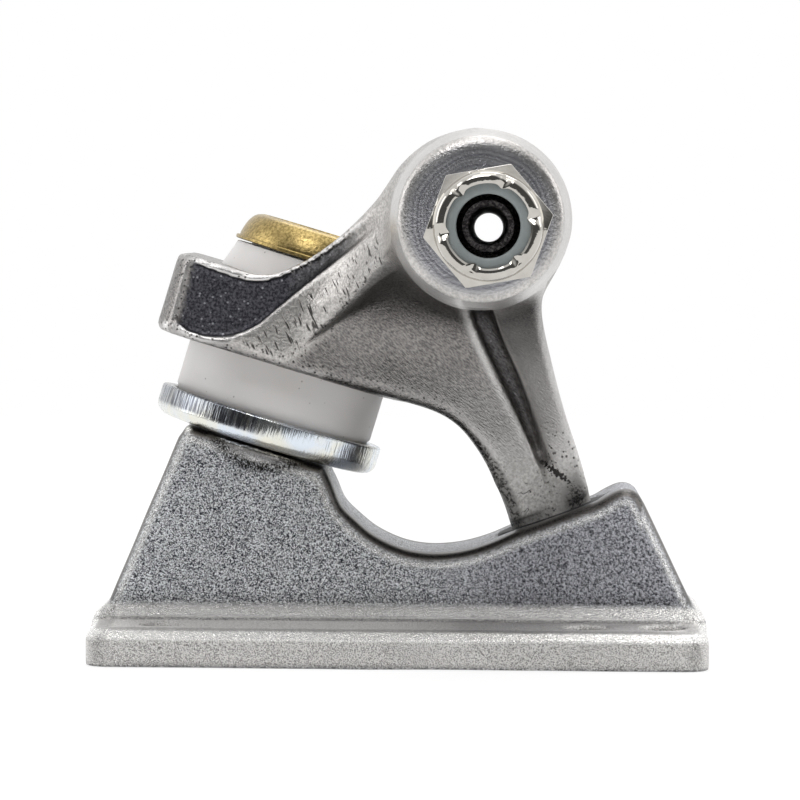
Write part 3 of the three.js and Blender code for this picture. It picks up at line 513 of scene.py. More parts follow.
def axis_frame(centre, along):
    """A centre, and three unit directions: the last along an axis, the first Y crossed with it,
    or X where the axis lies near Y, and the second the last crossed with the first."""
    along = np.asarray(along, float) / np.linalg.norm(along)
    first = np.cross([0.0, 1.0, 0.0] if abs(along[1]) < 0.9 else [1.0, 0.0, 0.0], along)
    first /= np.linalg.norm(first)
    return np.asarray(centre, float), first, np.cross(along, first), along


def grid_faces(around, rows, closed):
    """Faces of a grid that closes on itself around, and from row to row where it is closed:
    point j of spoke i is number i * rows + j, and a face joins it to the next both ways."""
    i, j = np.meshgrid(np.arange(around), np.arange(rows if closed else rows - 1), indexing="ij")
    i_next, j_next = (i + 1) % around, (j + 1) % rows
    corners = [i * rows + j, i_next * rows + j, i_next * rows + j_next, i * rows + j_next]
    return np.stack(corners, axis=-1).reshape(-1, 4)


def swept(radius, height, frame, angles):
    """Points at a radius and a height, for each angle and row, about an axis: centre +
    radius (cos first + sin second) + height along."""
    centre, first, second, along = frame
    spoke = np.cos(angles)[:, None, None] * first + np.sin(angles)[:, None, None] * second
    return centre + radius[..., None] * spoke + height[..., None] * along


def closed_piece(name, points, faces, material, crease=35.0):
    """A piece whose coincident points are merged, with faces turned outwards and the edges
    past an angle in degrees kept sharp."""
    piece = new_piece(name, points, faces, material)
    shell = bmesh.new()
    shell.from_mesh(piece.data)
    bmesh.ops.remove_doubles(shell, verts=shell.verts, dist=1e-7)
    bmesh.ops.recalc_face_normals(shell, faces=shell.faces)
    shell.to_mesh(piece.data)
    shell.free()
    piece.data.shade_smooth()
    piece.data.set_sharp_from_angle(angle=np.radians(crease))
    return piece


def eased(profile, ease, steps=3):
    """A profile of (radius, height) whose corners are rounded: each is replaced by a quadratic
    curve that starts and ends at ease from it, or at 0.45 of a shorter side. The two points of
    a profile that end on the axis stay."""
    profile = np.asarray(profile, float)
    hollow = profile[0, 0] > 0
    before, after = np.roll(profile, 1, axis=0), np.roll(profile, -1, axis=0)
    reach_back = np.minimum(ease / np.linalg.norm(before - profile, axis=1), 0.45)[:, None]
    reach_on = np.minimum(ease / np.linalg.norm(after - profile, axis=1), 0.45)[:, None]
    a, c = profile + (before - profile) * reach_back, profile + (after - profile) * reach_on
    t = np.linspace(0, 1, steps + 1)[:, None, None]
    arcs = (a * (1 - t) ** 2 + 2 * profile * t * (1 - t) + c * t**2).transpose(1, 0, 2)
    if hollow:
        return arcs.reshape(-1, 2)
    return np.vstack([profile[:1], arcs[1:-1].reshape(-1, 2), profile[-1:]])


def turned(name, profile, frame, material, sides=96):
    """A surface of revolution about an axis: each point of the profile, carried round at its
    radius and height. A profile that starts off the axis closes on itself, as a ring does."""
    profile = np.asarray(profile, float)
    angles = np.arange(sides) * 2 * np.pi / sides
    points = swept(np.tile(profile[:, 0], (sides, 1)), np.tile(profile[:, 1], (sides, 1)),
                   frame, angles)
    faces = grid_faces(sides, len(profile), closed=profile[0, 0] > 0)
    return closed_piece(name, points.reshape(-1, 3), faces, material)


# Black urethane, moulded: dull, with a faint mottle.
MOTTLE_WIDTH, MOTTLE_DEPTH = 0.8, 0.05

black_urethane, tree, shader = new_material("moulded_black_urethane")
place = add_node(tree, "ShaderNodeTexCoord", {}).outputs["Object"]
mottle = add_node(tree, "ShaderNodeTexNoise", {
    "Vector": place, "Scale": 1 / (MOTTLE_WIDTH * MM), "Detail": 3.0})
tint = add_node(tree, "ShaderNodeMix", {
    0: mottle.outputs["Fac"], 6: colour("1c1c1f"), 7: colour("2e2e32")}, data_type="RGBA")
tree.links.new(tint.outputs[2], shader.inputs["Base Color"])
skin_bump = add_node(tree, "ShaderNodeBump", {
    "Height": mottle.outputs["Fac"], "Strength": 0.3, "Distance": MOTTLE_DEPTH * MM})
tree.links.new(skin_bump.outputs["Normal"], shader.inputs["Normal"])
shader.inputs["Roughness"].default_value = 0.55
shader.inputs["IOR"].default_value = 1.5

pivot_frame = axis_frame((MOUTH_X, 0, MOUTH_Z), (-np.sin(PIVOT_TILT), 0, np.cos(PIVOT_TILT)))
quarter = np.radians(np.linspace(0, 90, 13))
bowl = np.stack([CUP_INNER * np.sin(quarter), -BALL_DEPTH - CUP_INNER * np.cos(quarter)], axis=1)
cup_depth = BALL_DEPTH + CUP_INNER + CUP_FLOOR
outside = eased([(0, 0), (CUP_INNER, 0), (CUP_OUTER, 0), (CUP_OUTER - CUP_DRAUGHT, -cup_depth),
                 (0, -cup_depth)], CUP_ROUND)[1:]
pivot_cup = turned("pivot_cup_urethane", np.vstack([bowl, outside]), pivot_frame, black_urethane)
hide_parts("pivot_cup")
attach(pivot_cup, "base")


# Bottom washer
# A cup washer, pressed from steel sheet and zinc plated. It lies on the kingpin seat and holds
# the lower bushing's foot.
WASHER_GAUGE, WASHER_SIDES = 1.6, 128
BOTTOM_WASHER_RADIUS, BOTTOM_WASHER_LOW, BOTTOM_WASHER_HIGH = 14.8, 0.3, 4.1
PRESSED_ROUND, RIM_ROUND, BRIM_ROUND, BRIM_IN, FLOOR_ROUND = 1.5, 0.35, 0.2, 0.25, 0.7
# The sheared lines' spacing, length and depth. The pairs are along and across the kingpin's
# axis, from the scene's origin: the height of the pressed round's top, and the heel half where a
# dark reflection is painted.
SHEAR_SPACING, SHEAR_LENGTH, SHEAR_DEPTH = 0.25, 3.0, 0.07
ROUND_TOP_BAND, REFLECTION_BAND = (22.3, 22.8), (-24.4, -26.9)

# Zinc plate: bright and smooth, blue-white with faint yellow clouds 7 mm wide from its
# passivation. The die that cut the blank has left fine lines across its edge. On the heel half
# of the edge above the pressed round, a dark reflection, streaked along those lines, is painted
# into the colour.
CLOUD_WIDTH, SMEAR_WIDTH = 7.0, 0.5

zinc_steel, tree, shader = new_material("zinc_plated_steel")
place = add_node(tree, "ShaderNodeTexCoord", {}).outputs["Object"]
clouds = add_node(tree, "ShaderNodeTexNoise", {
    "Vector": place, "Scale": 1 / (CLOUD_WIDTH * MM), "Detail": 4.0, "Distortion": 0.8})
cloud_share = add_node(tree, "ShaderNodeMapRange", {
    "Value": clouds.outputs["Fac"], "From Min": 0.4, "From Max": 0.62})
plate_colour = add_node(tree, "ShaderNodeMix", {
    0: cloud_share.outputs["Result"], 6: colour("dde5ee"), 7: colour("e8e6da")}, data_type="RGBA")
fine = add_node(tree, "ShaderNodeTexNoise", {
    "Vector": place, "Scale": 1 / (SMEAR_WIDTH * MM), "Detail": 4.0, "Roughness": 0.7})
gloss = add_node(tree, "ShaderNodeMapRange", {
    "Value": fine.outputs["Fac"], "From Min": 0.3, "From Max": 0.7, "To Min": 0.1, "To Max": 0.24})
tree.links.new(gloss.outputs["Result"], shader.inputs["Roughness"])
sheared_place = add_node(tree, "ShaderNodeMapping", {
    "Vector": place, "Rotation": (0, KINGPIN_TILT, 0),
    "Scale": (SHEAR_SPACING * MM, SHEAR_SPACING * MM, SHEAR_LENGTH * MM)},
    vector_type="TEXTURE")
sheared = add_node(tree, "ShaderNodeTexNoise", {
    "Vector": sheared_place.outputs["Vector"], "Scale": 1.0, "Detail": 2.0})
rim_place = add_node(tree, "ShaderNodeSeparateXYZ", {
    "Vector": sheared_place.outputs["Vector"]})
above_round = add_node(tree, "ShaderNodeMapRange", {
    "Value": rim_place.outputs["Z"], "From Min": ROUND_TOP_BAND[0] / SHEAR_LENGTH,
    "From Max": ROUND_TOP_BAND[1] / SHEAR_LENGTH})
# Painted reflection: the heel half of the rim above the pressed round is darkened in streaks.
heelward = add_node(tree, "ShaderNodeMapRange", {
    "Value": rim_place.outputs["X"], "From Min": REFLECTION_BAND[0] / SHEAR_SPACING,
    "From Max": REFLECTION_BAND[1] / SHEAR_SPACING, "To Max": 0.9})
streaked_reflection = add_node(tree, "ShaderNodeMapRange", {
    "Value": sheared.outputs["Fac"], "From Min": 0.38, "From Max": 0.62, "To Min": 1.0,
    "To Max": 0.45})
heel_rim = add_node(tree, "ShaderNodeMath", {
    0: above_round.outputs["Result"], 1: heelward.outputs["Result"]}, operation="MULTIPLY")
darkened = add_node(tree, "ShaderNodeMath", {
    0: heel_rim.outputs["Value"], 1: streaked_reflection.outputs["Result"]}, operation="MULTIPLY")
rim_painted_reflection = add_node(tree, "ShaderNodeMix", {
    0: darkened.outputs["Value"], 6: plate_colour.outputs[2], 7: colour("4a4c58")},
    data_type="RGBA")
tree.links.new(rim_painted_reflection.outputs[2], shader.inputs["Base Color"])
rolled = add_node(tree, "ShaderNodeBump", {
    "Height": sheared.outputs["Fac"], "Strength": 1.0, "Distance": SHEAR_DEPTH * MM})
tree.links.new(rolled.outputs["Normal"], shader.inputs["Normal"])
shader.inputs["Metallic"].default_value = 1.0


def arc(centre_radius, centre_height, radius, start, end, steps=8):
    """Points of a circular arc in a profile, between two angles in degrees: centre + radius
    (cos, sin)."""
    angle = np.radians(np.linspace(start, end, steps + 1))
    across = centre_radius + radius * np.cos(angle)
    return np.stack([across, centre_height + radius * np.sin(angle)], axis=1)


kingpin_frame = axis_frame((SEAT_X, 0, SEAT_Z), (np.sin(KINGPIN_TILT), 0, np.cos(KINGPIN_TILT)))
washer_hole = KINGPIN_RADIUS + FIT
wall = BOTTOM_WASHER_RADIUS - WASHER_GAUGE
floor_high = BOTTOM_WASHER_LOW + WASHER_GAUGE
profile = np.vstack([
    [(washer_hole, BOTTOM_WASHER_LOW)],
    arc(BOTTOM_WASHER_RADIUS - PRESSED_ROUND, BOTTOM_WASHER_LOW + PRESSED_ROUND,
        PRESSED_ROUND, -90, 0),
    arc(BOTTOM_WASHER_RADIUS - RIM_ROUND, BOTTOM_WASHER_HIGH - RIM_ROUND, RIM_ROUND, 0, 90, 3),
    arc(wall + BRIM_IN, BOTTOM_WASHER_HIGH - BRIM_ROUND, BRIM_ROUND, 90, 180, 3),
    arc(wall - FLOOR_ROUND, floor_high + FLOOR_ROUND, FLOOR_ROUND, 0, -90, 4),
    [(washer_hole, floor_high)],
])
bottom_washer = turned("bottom_cup_washer", profile, kingpin_frame, zinc_steel, WASHER_SIDES)
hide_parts("bottom_washer")
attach(bottom_washer, "base")


# Bottom bushing
# A barrel of poured urethane round the kingpin. The hanger's ring sits on it, and the real
# one squeezes when the truck leans.
BUSHING_BORE = 5.3
BOTTOM_BUSHING_RADIUS, BOTTOM_BUSHING_LOW, BOTTOM_BUSHING_HIGH = 13.1, 2.2, 13.3
BUSHING_ROUND, BUSHING_ROWS, BUSHING_INSET, BUSHING_PINCH, BUSHING_GRIP = 0.5, 9, 0.6, 0.35, 1.5
# The rounded foot's points: how far each lies inside the cup and above its floor
BUSHING_FOOT = ((0.8, 0.0), (0.2, 0.3), (0.0, 0.9))

# Cast urethane: off-white, a little light passes into it, satin, with a few specks of dust.
MILK_WIDTH, SPECK_SPACING, SATIN_WIDTH, SATIN_DEPTH, LIGHT_REACH = 6.0, 1.6, 0.35, 0.05, 1.5

white_urethane, tree, shader = new_material("poured_white_urethane")
place = add_node(tree, "ShaderNodeTexCoord", {}).outputs["Object"]
cloud = add_node(tree, "ShaderNodeTexNoise", {
    "Vector": place, "Scale": 1 / (MILK_WIDTH * MM), "Detail": 2.0})
body_colour = add_node(tree, "ShaderNodeMix", {
    0: cloud.outputs["Fac"], 6: colour("ddd9d6"), 7: colour("e6e4e3")}, data_type="RGBA")
specks = add_node(tree, "ShaderNodeTexVoronoi", {
    "Vector": place, "Scale": 1 / (SPECK_SPACING * MM)})
speck_share = add_node(tree, "ShaderNodeMapRange", {
    "Value": specks.outputs["Distance"], "From Min": 0.05, "From Max": 0.09,
    "To Min": 0.55, "To Max": 0.0})
speckled = add_node(tree, "ShaderNodeMix", {
    0: speck_share.outputs["Result"], 6: body_colour.outputs[2], 7: colour("6d6257")},
    data_type="RGBA")
tree.links.new(speckled.outputs[2], shader.inputs["Base Color"])
matt = add_node(tree, "ShaderNodeTexNoise", {
    "Vector": place, "Scale": 1 / (SATIN_WIDTH * MM), "Detail": 2.0})
satin = add_node(tree, "ShaderNodeBump", {
    "Height": matt.outputs["Fac"], "Strength": 0.12, "Distance": SATIN_DEPTH * MM})
tree.links.new(satin.outputs["Normal"], shader.inputs["Normal"])
shader.inputs["Roughness"].default_value = 0.42
shader.inputs["IOR"].default_value = 1.5
shader.inputs["Subsurface Weight"].default_value = 0.25
shader.inputs["Subsurface Radius"].default_value = (1.0, 0.9, 0.8)
shader.inputs["Subsurface Scale"].default_value = LIGHT_REACH * MM

levels = np.linspace(BOTTOM_WASHER_HIGH + BUSHING_INSET, BOTTOM_BUSHING_HIGH - BUSHING_INSET,
                     BUSHING_ROWS)
in_washer = wall - FLOOR_ROUND
profile = np.vstack([
    [(BUSHING_BORE, BOTTOM_BUSHING_LOW)],
    [(in_washer - inward, BOTTOM_BUSHING_LOW + up) for inward, up in BUSHING_FOOT],
    [(BOTTOM_BUSHING_RADIUS - BUSHING_PINCH, BOTTOM_WASHER_HIGH)],
    np.stack([np.full(BUSHING_ROWS, BOTTOM_BUSHING_RADIUS), levels], axis=1),
    arc(BOTTOM_BUSHING_RADIUS - BUSHING_ROUND, BOTTOM_BUSHING_HIGH - BUSHING_ROUND,
        BUSHING_ROUND, 10, 90, 4),
    [(BUSHING_BORE, BOTTOM_BUSHING_HIGH)],
])
bottom_bushing = turned("bottom_bushing_urethane", profile, kingpin_frame, white_urethane,
                        WASHER_SIDES)


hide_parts("bottom_bushing")
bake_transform(bottom_bushing)


# Hanger
# The steering half: one aluminium casting of ring, arms, web, leg, pivot nose and the barrel
# that the axle runs through. It is tumbled, which brightens its ribs and leaves its recesses
# dark. Its forms blend as the baseplate's do, so it is made the same way.
RING_LOW, RING_LOWER_FLOOR, RING_UPPER_FLOOR, RING_HIGH = 10.9, 13.6, 17.1, 21.2
RING_HALF, RING_CORNER, RING_BORE = 17.2, 6.0, 7.0
BARREL_X, BARREL_Z, BARREL_HALF, BARREL_ROUND = 10.2, 56.4, 74.5, 1.4
BARREL_END_RADIUS, BARREL_RADIUS, BARREL_TAPER = 9.8, 11.1, 28.5
AXLE_X, AXLE_Z, AXLE_RADIUS = 11.1, 55.6, 3.97
WING_HALF, WEB_HALF, CORE_HALF, LEG_HALF = 46.0, 17.0, 3.6, 5.35
NOSE_RADIUS, NOSE_SHANK, LEG_CLEARANCE = 5.35, 10.0, 1.0
RECESS_DEPTH, RECESS_DRAUGHT, RECESS_END, RECESS_RUNOUT = 2.2, 0.5, -2.4, 7.0
RECESS_HEEL_X, RECESS_HEEL_Z, HEEL_WALL_ACROSS, HEEL_WALL_DOWN = -27.75, 51.2, 0.977, 0.216
GROOVE_FOOT, GROOVE_ROUND = 25.0, 1.6
TOP_BUSHING_RADIUS, TOP_WASHER_HIGH = 12.0, 28.8
TOP_WASHER_ROOM, TOP_WASHER_SWING = 12.1, 1.14
RING_ROUND, ARM_ROUND, WEB_ROUND, GUSSET_ROUND, REAR_ROUND, CORE_ROUND = 1.1, 1.3, 1.8, 1.2, 1.6, 0.8
ARM_FILLET, GUSSET_FILLET, CORE_FILLET, STEM_FILLET, BARREL_FILLET = 0.8, 5.0, 0.5, 0.6, 2.5
CUT_ROUND, SEAT_ROUND, ROOM_ROUND, RECESS_LIP = 0.5, 0.6, 0.6, 0.35
RECESS_FLOOR_ROUND, BORE_ROUND, AXLE_HOLE_ROUND = 0.4, 0.4, 0.3
HANGER_SWELL, HANGER_RIPPLE = (0.035, 13.0, 5), (0.012, 3.0, 6)
# How each slab widens across Y: two stations, the half-width at each, and the growth's power
ARM_SPREAD = (-16.6, BARREL_X, RING_HALF, WING_HALF, 2.0)
WEB_SPREAD = (-19.6, MOUTH_X, WEB_HALF, LEG_HALF, 1.5)
GUSSET_SPREAD = (MOUTH_Z, BARREL_Z, LEG_HALF, WING_HALF, 4.0)
REAR_SPREAD = (MOUTH_Z, BARREL_Z, LEG_HALF, WING_HALF, 2.3)
CORE_SPREAD = (MOUTH_Z, BARREL_Z, CORE_HALF, WING_HALF, 8.0)
# The block of points, from X and Z low to X and Z high
HANGER_PITCH, HANGER_LOW, HANGER_HIGH = 0.53, (-37.0, 4.6), (27.5, 68.7)

# Side outlines, clockwise from the heel end, in X and Z
ARM_OUTLINE = np.vstack([
    curve([(-25.0, 47.5), (-20.5, 48.6), (-17.6, 49.15), (-15.4, 49.7), (-12.8, 50.8),
           (-10.3, 52.3), (-7.8, 54.2), (-5.5, 56.3), (-3.2, 58.7), (-1.3, 61.1), (0.6, 63.4),
           (4.0, 65.6), (9.0, 66.4)]),
    curve([(12.0, 60.0), (5.0, 55.5), (-0.7, 52.2), (-3.5, 49.4), (-6.5, 45.7), (-9.8, 42.4),
           (-12.4, 40.1), (-14.6, 38.6), (-18.0, 39.6), (-25.0, 42.6)]),
])
RECESS_TOP = curve([(RECESS_HEEL_X, RECESS_HEEL_Z), (-22.7, 49.4), (-20.1, 48.6), (-17.3, 48.5),
                    (-14.1, 49.5), (-10.3, 51.6), (-7.1, 53.9), (-3.2, 56.9)])
RECESS_BOTTOM = curve([(-2.9, 55.6), (-4.8, 53.9), (-7.7, 51.5), (-12.8, 47.5),
                       (-16.0, 44.8), (-18.5, 42.8), (-21.1, 41.7), (-23.9, 41.4),
                       (-26.8, 42.1), (-29.3, 43.8)])
RECESS_OUTLINE = np.vstack([RECESS_TOP, RECESS_BOTTOM])
UNDER_EDGE = curve([(14.2, 14.5), (14.2, 17.9), (13.15, 21.3), (11.65, 24.95), (9.05, 28.5),
                    (6.9, 30.5), (4.0, 32.0), (-1.5, 33.7), (-6.0, 35.2), (-9.5, 36.2)])
WEB_OUTLINE = np.vstack([
    [(-13.0, 40.0), (-9.0, 44.0), (-2.0, 50.0), (10.5, 50.0), (12.4, 43.4), (18.4, 31.0),
     (23.0, 19.0)],
    UNDER_EDGE,
])
REAR_OUTLINE = np.vstack([
    curve([(10.9, 50.0), (12.3, 43.0), (15.4, 35.6), (17.8, 28.4), (19.3, 24.2), (20.4, 19.0)]),
    curve([(25.4, 16.5), (24.5, 20.8), (23.0, 26.2), (21.1, 31.9), (19.4, 38.2), (18.2, 43.4),
           (18.0, 46.6), (18.7, 49.4), (19.8, 52.5)]),
    [(12.0, 58.0)],
])
CORE_OUTLINE = np.array([(7.0, 52.0), (10.5, 40.0), (17.5, 24.0), (17.5, 15.0), (23.0, 15.0),
                         (21.5, 27.0), (17.5, 42.0), (17.5, 52.0)])
GUSSET_OUTLINE = np.vstack([
    curve([(-10.5, 41.5), (-7.0, 45.2), (-4.0, 49.3), (-0.7, 52.8), (5.0, 56.0), (8.0, 57.0)]),
    [(12.5, 50.0), (13.4, 43.4), (18.6, 31.0), (20.0, 27.0)],
    curve([(14.0, 24.0), (11.5, 29.5), (7.5, 34.5), (0.0, 38.5), (-8.0, 40.0)]),
])
# Everything before the ridge where the web ends, with a groove behind it
RIDGE = curve([(8.3, 46.6), (9.4, 43.4), (12.6, 36.5), (15.3, 31.0), (17.7, 25.3), (19.9, 19.0)])
FRONT_OUTLINE = np.vstack([[(-50.0, 0.0), (-50.0, 80.0), (40.0, 80.0), (40.0, 54.0), (7.4, 54.0)],
                           RIDGE, [(20.6, 0.0)]])


def spread(station, low, high, inner, outer, power):
    """Half-widths that grow from inner to outer between two stations, share ** power of the
    way, and how steeply they grow."""
    share = np.clip((station - low) / (high - low), 0, 1)
    half = inner + (outer - inner) * share**power
    slope = (outer - inner) / (high - low) * power * share ** (power - 1)
    return half, slope


def slab(outline, x, y, z, half, slope, edge):
    """A side outline carried across Y as far as a half-width: what the outline's distance and
    (|y| - half) / hypot(1, slope) share."""
    return common(outline_field(outline, x, z), (np.abs(y) - half) / np.hypot(1, slope), edge)


def heel_wall_field(x, z, inward):
    """Distance past the recess's wall at its heel end: the step from the wall's top dotted with
    its normal, plus a draught for each millimetre inward."""
    past_heel, below_heel = RECESS_HEEL_X - x, RECESS_HEEL_Z - z
    leaned = past_heel * HEEL_WALL_ACROSS - below_heel * HEEL_WALL_DOWN
    return leaned + RECESS_DRAUGHT * inward


def groove_field(x, y, z):
    """The groove between the ridge and the rear plate: outside both, as deep as the core."""
    core_half = spread(z, *CORE_SPREAD)[0]
    sides = np.minimum(outline_field(FRONT_OUTLINE, x, z), outline_field(REAR_OUTLINE, x, z))
    ends = np.minimum(z - GROOVE_FOOT, np.hypot(x - BARREL_X, z - BARREL_Z) - BARREL_RADIUS)
    return common(-np.minimum(sides, ends), core_half - np.abs(y), GROOVE_ROUND)


def recess_field(x, y, z):
    """The hollow in each arm's side: inside its outline, and within a depth of the arm's own
    face, a depth that runs out to nothing towards the barrel."""
    half, slope = spread(x, *ARM_SPREAD)
    depth = RECESS_DEPTH * np.clip((RECESS_END - x) / RECESS_RUNOUT, 0, 1)
    inward = (half - np.abs(y)) / np.hypot(1, slope)
    walls = np.maximum(outline_field(RECESS_OUTLINE, x, z), heel_wall_field(x, z, inward))
    return common(walls, inward - depth, RECESS_FLOOR_ROUND)


def hanger_field(x, y, z):
    """The casting: ring, arms, web, gusset, rear plate and core, then nose and barrel, less the
    recesses, the bushings' seats, the bore, the washer's room and the axle's hole."""
    up, across, radius = along_axis(x, y, z, SEAT_X, SEAT_Z, KINGPIN_TILT)
    pivot_up, _, pivot_radius = along_axis(x, y, z, MOUTH_X, MOUTH_Z, -PIVOT_TILT)
    straight = rounded_box(across, y, RING_HALF, RING_HALF, RING_CORNER)
    ring_plan = np.where(across < 0, straight, radius - RING_HALF)
    ring_middle, ring_half = (RING_HIGH + RING_LOW) / 2, (RING_HIGH - RING_LOW) / 2
    form = common(ring_plan, np.abs(up - ring_middle) - ring_half, RING_ROUND)

    arms = slab(ARM_OUTLINE, x, y, z, *spread(x, *ARM_SPREAD), ARM_ROUND)
    web = slab(WEB_OUTLINE, x, y, z, *spread(x, *WEB_SPREAD), WEB_ROUND)
    gusset = slab(GUSSET_OUTLINE, x, y, z, *spread(z, *GUSSET_SPREAD), GUSSET_ROUND)
    rear = slab(REAR_OUTLINE, x, y, z, *spread(z, *REAR_SPREAD), REAR_ROUND)
    core = slab(CORE_OUTLINE, x, y, z, *spread(z, *CORE_SPREAD), CORE_ROUND)
    form = united(united(form, arms, ARM_FILLET), web, ARM_FILLET)
    form = united(form, gusset, GUSSET_FILLET)
    form = common(form, outline_field(FRONT_OUTLINE, x, z), CUT_ROUND)
    form = united(united(form, core, CORE_FILLET), rear, CORE_FILLET)
    relief = np.maximum(pivot_up - LEG_CLEARANCE, NOSE_RADIUS - pivot_radius)
    form = carved(form, relief, CUT_ROUND)
    room = np.hypot(across, y / TOP_WASHER_SWING) - TOP_WASHER_ROOM
    form = carved(form, np.maximum(room, RING_HIGH - up), ROOM_ROUND)

    shank = np.maximum(pivot_radius - NOSE_RADIUS, np.abs(pivot_up + BALL_DEPTH / 2)
                       - BALL_DEPTH / 2)
    ball = np.hypot(pivot_radius, pivot_up + BALL_DEPTH) - NOSE_RADIUS
    stem = np.maximum(pivot_radius - NOSE_RADIUS, np.abs(pivot_up - NOSE_SHANK / 2)
                      - NOSE_SHANK / 2)
    form = np.minimum(united(form, stem, STEM_FILLET), np.minimum(shank, ball))
    taper = np.clip((BARREL_HALF - np.abs(y)) / BARREL_TAPER, 0, 1)
    barrel_radius = BARREL_END_RADIUS + (BARREL_RADIUS - BARREL_END_RADIUS) * taper
    barrel = common(np.hypot(x - BARREL_X, z - BARREL_Z) - barrel_radius,
                    np.abs(y) - BARREL_HALF, BARREL_ROUND)
    form = united(form, barrel, BARREL_FILLET)
    form = form + unevenness(x, y, z, *HANGER_SWELL) + unevenness(x, y, z, *HANGER_RIPPLE)
    form = carved(form, groove_field(x, y, z), RECESS_LIP)
    form = carved(form, recess_field(x, y, z), RECESS_LIP)
    lower_seat = np.maximum(radius - BOTTOM_BUSHING_RADIUS - FIT, up - RING_LOWER_FLOOR)
    form = carved(form, lower_seat, CUT_ROUND)
    upper_seat = np.maximum(radius - (TOP_BUSHING_RADIUS + FIT), RING_UPPER_FLOOR - up)
    form = carved(form, upper_seat, SEAT_ROUND)
    form = carved(form, radius - RING_BORE, BORE_ROUND)
    washer_room = np.maximum(room, np.maximum(RING_HIGH - up, up - TOP_WASHER_HIGH))
    form = carved(form, washer_room, CUT_ROUND)
    axle_hole = np.hypot(x - AXLE_X, z - AXLE_Z) - AXLE_RADIUS - FIT
    return carved(form, axle_hole, AXLE_HOLE_ROUND)


# Tumbled aluminium: pale on its ribs, grey and finely streaked on the web, dark and sandy in
# the recesses and the groove, where its glints are painted highlights. Cold folds from the
# mould, 2 mm long and 0.3 mm wide, lie across the ribs as dark lines, and pores are scattered
# along the lower edges. A skin of pale oxide, which is matt and no mirror, covers the leg's
# foot and thins out above it. Painted highlights lie along the ridge, on the barrel's side and
# on the lower web and rear plate, over real wear on the convex edges, and painted shade
# darkens the creases and the leg's front edge.
GRAIN_WIDTH, PATCH_WIDTH, GLINT_SPACING, CAST_DEPTH = 0.35, 5.0, 0.9, 0.16
STREAK_LEAN, STREAK_SIZE = np.radians(41), (0.6, 0.3, 0.19)
RING_SPACING, RING_WANDER = 0.3, 0.9
FOLD_LEAN, FOLD_SIZE, PORE_SPACING = np.radians(-24), (0.34, 2.0, 2.2), 0.62
CRACK_WANDER, CRACK_PATCH = 2.6, 2.2
SHUT_X, SHUT_Z, SHUT_LEAN, SHUT_SIZE = 20.15, 23.9, np.radians(37), (1.9, 3.0, 0.38)

tumbled_aluminium, tree, shader = new_material("tumbled_cast_aluminium")
place = add_node(tree, "ShaderNodeTexCoord", {}).outputs["Object"]
wear_and_highlight, sandy, flat_web, folded, porous, grimy_and_shaded, faced, crazed, oxide = (
    add_node(tree, "ShaderNodeAttribute", {}, attribute_name=share).outputs["Fac"]
    for share in ("burnished_and_highlit", "recess", "web", "folds", "pores", "grime_and_painted_shade", "faced", "crazed",
                  "oxide"))
grain = add_node(tree, "ShaderNodeTexNoise", {
    "Vector": place, "Scale": 1 / (GRAIN_WIDTH * MM), "Detail": 3.0, "Roughness": 0.6})
patches = add_node(tree, "ShaderNodeTexNoise", {
    "Vector": place, "Scale": 1 / (PATCH_WIDTH * MM), "Detail": 4.0})
streak_place = add_node(tree, "ShaderNodeMapping", {
    "Vector": place, "Rotation": (0, STREAK_LEAN, 0),
    "Scale": [size * MM for size in STREAK_SIZE]}, vector_type="TEXTURE")
streaks = add_node(tree, "ShaderNodeTexNoise", {
    "Vector": streak_place.outputs["Vector"], "Scale": 1.0, "Detail": 3.0})
grain_share = add_node(tree, "ShaderNodeMapRange", {
    "Value": grain.outputs["Fac"], "From Min": 0.38, "From Max": 0.62})
rib_colour = add_node(tree, "ShaderNodeMix", {
    0: grain_share.outputs["Result"], 6: colour("a9a6a3"), 7: colour("d0cdca")},
    data_type="RGBA")
streak_share = add_node(tree, "ShaderNodeMapRange", {
    "Value": streaks.outputs["Fac"], "From Min": 0.35, "From Max": 0.65})
web_colour = add_node(tree, "ShaderNodeMix", {
    0: streak_share.outputs["Result"], 6: colour("6c6969"), 7: colour("a09d9a")},
    data_type="RGBA")
# The glints in the recesses' sand are painted highlights.
specks = add_node(tree, "ShaderNodeTexVoronoi", {
    "Vector": place, "Scale": 1 / (GLINT_SPACING * MM)})
glint = add_node(tree, "ShaderNodeMapRange", {
    "Value": specks.outputs["Distance"], "From Min": 0.1, "From Max": 0.2,
    "To Min": 0.8, "To Max": 0.0})
sand_colour = add_node(tree, "ShaderNodeMix", {
    0: grain_share.outputs["Result"], 6: colour("34343a"), 7: colour("6c6c72")},
    data_type="RGBA")
sand_glints = add_node(tree, "ShaderNodeMix", {
    0: glint.outputs["Result"], 6: sand_colour.outputs[2], 7: colour("b9bac0")},
    data_type="RGBA")
web_or_rib = add_node(tree, "ShaderNodeMix", {
    0: flat_web, 6: rib_colour.outputs[2], 7: web_colour.outputs[2]}, data_type="RGBA")

# The barrel's end is faced on a lathe, which leaves rings 0.3 mm apart about the barrel's axis,
# and a slow noise bends them a little.
from_centre = add_node(tree, "ShaderNodeVectorMath", {
    0: place, 1: (BARREL_X * MM, 0, BARREL_Z * MM)}, operation="SUBTRACT")
in_plane = add_node(tree, "ShaderNodeVectorMath", {
    0: from_centre.outputs["Vector"], 1: (1, 0, 1)}, operation="MULTIPLY")
face_radius = add_node(tree, "ShaderNodeVectorMath", {
    0: in_plane.outputs["Vector"]}, operation="LENGTH")
ringed = add_node(tree, "ShaderNodeMath", {
    0: patches.outputs["Fac"], 1: RING_WANDER * MM, 2: face_radius.outputs["Value"]},
    operation="MULTIPLY_ADD")
rings = add_node(tree, "ShaderNodeTexNoise", {
    "W": ringed.outputs["Value"], "Scale": 1 / (RING_SPACING * MM), "Detail": 3.0},
    noise_dimensions="1D")
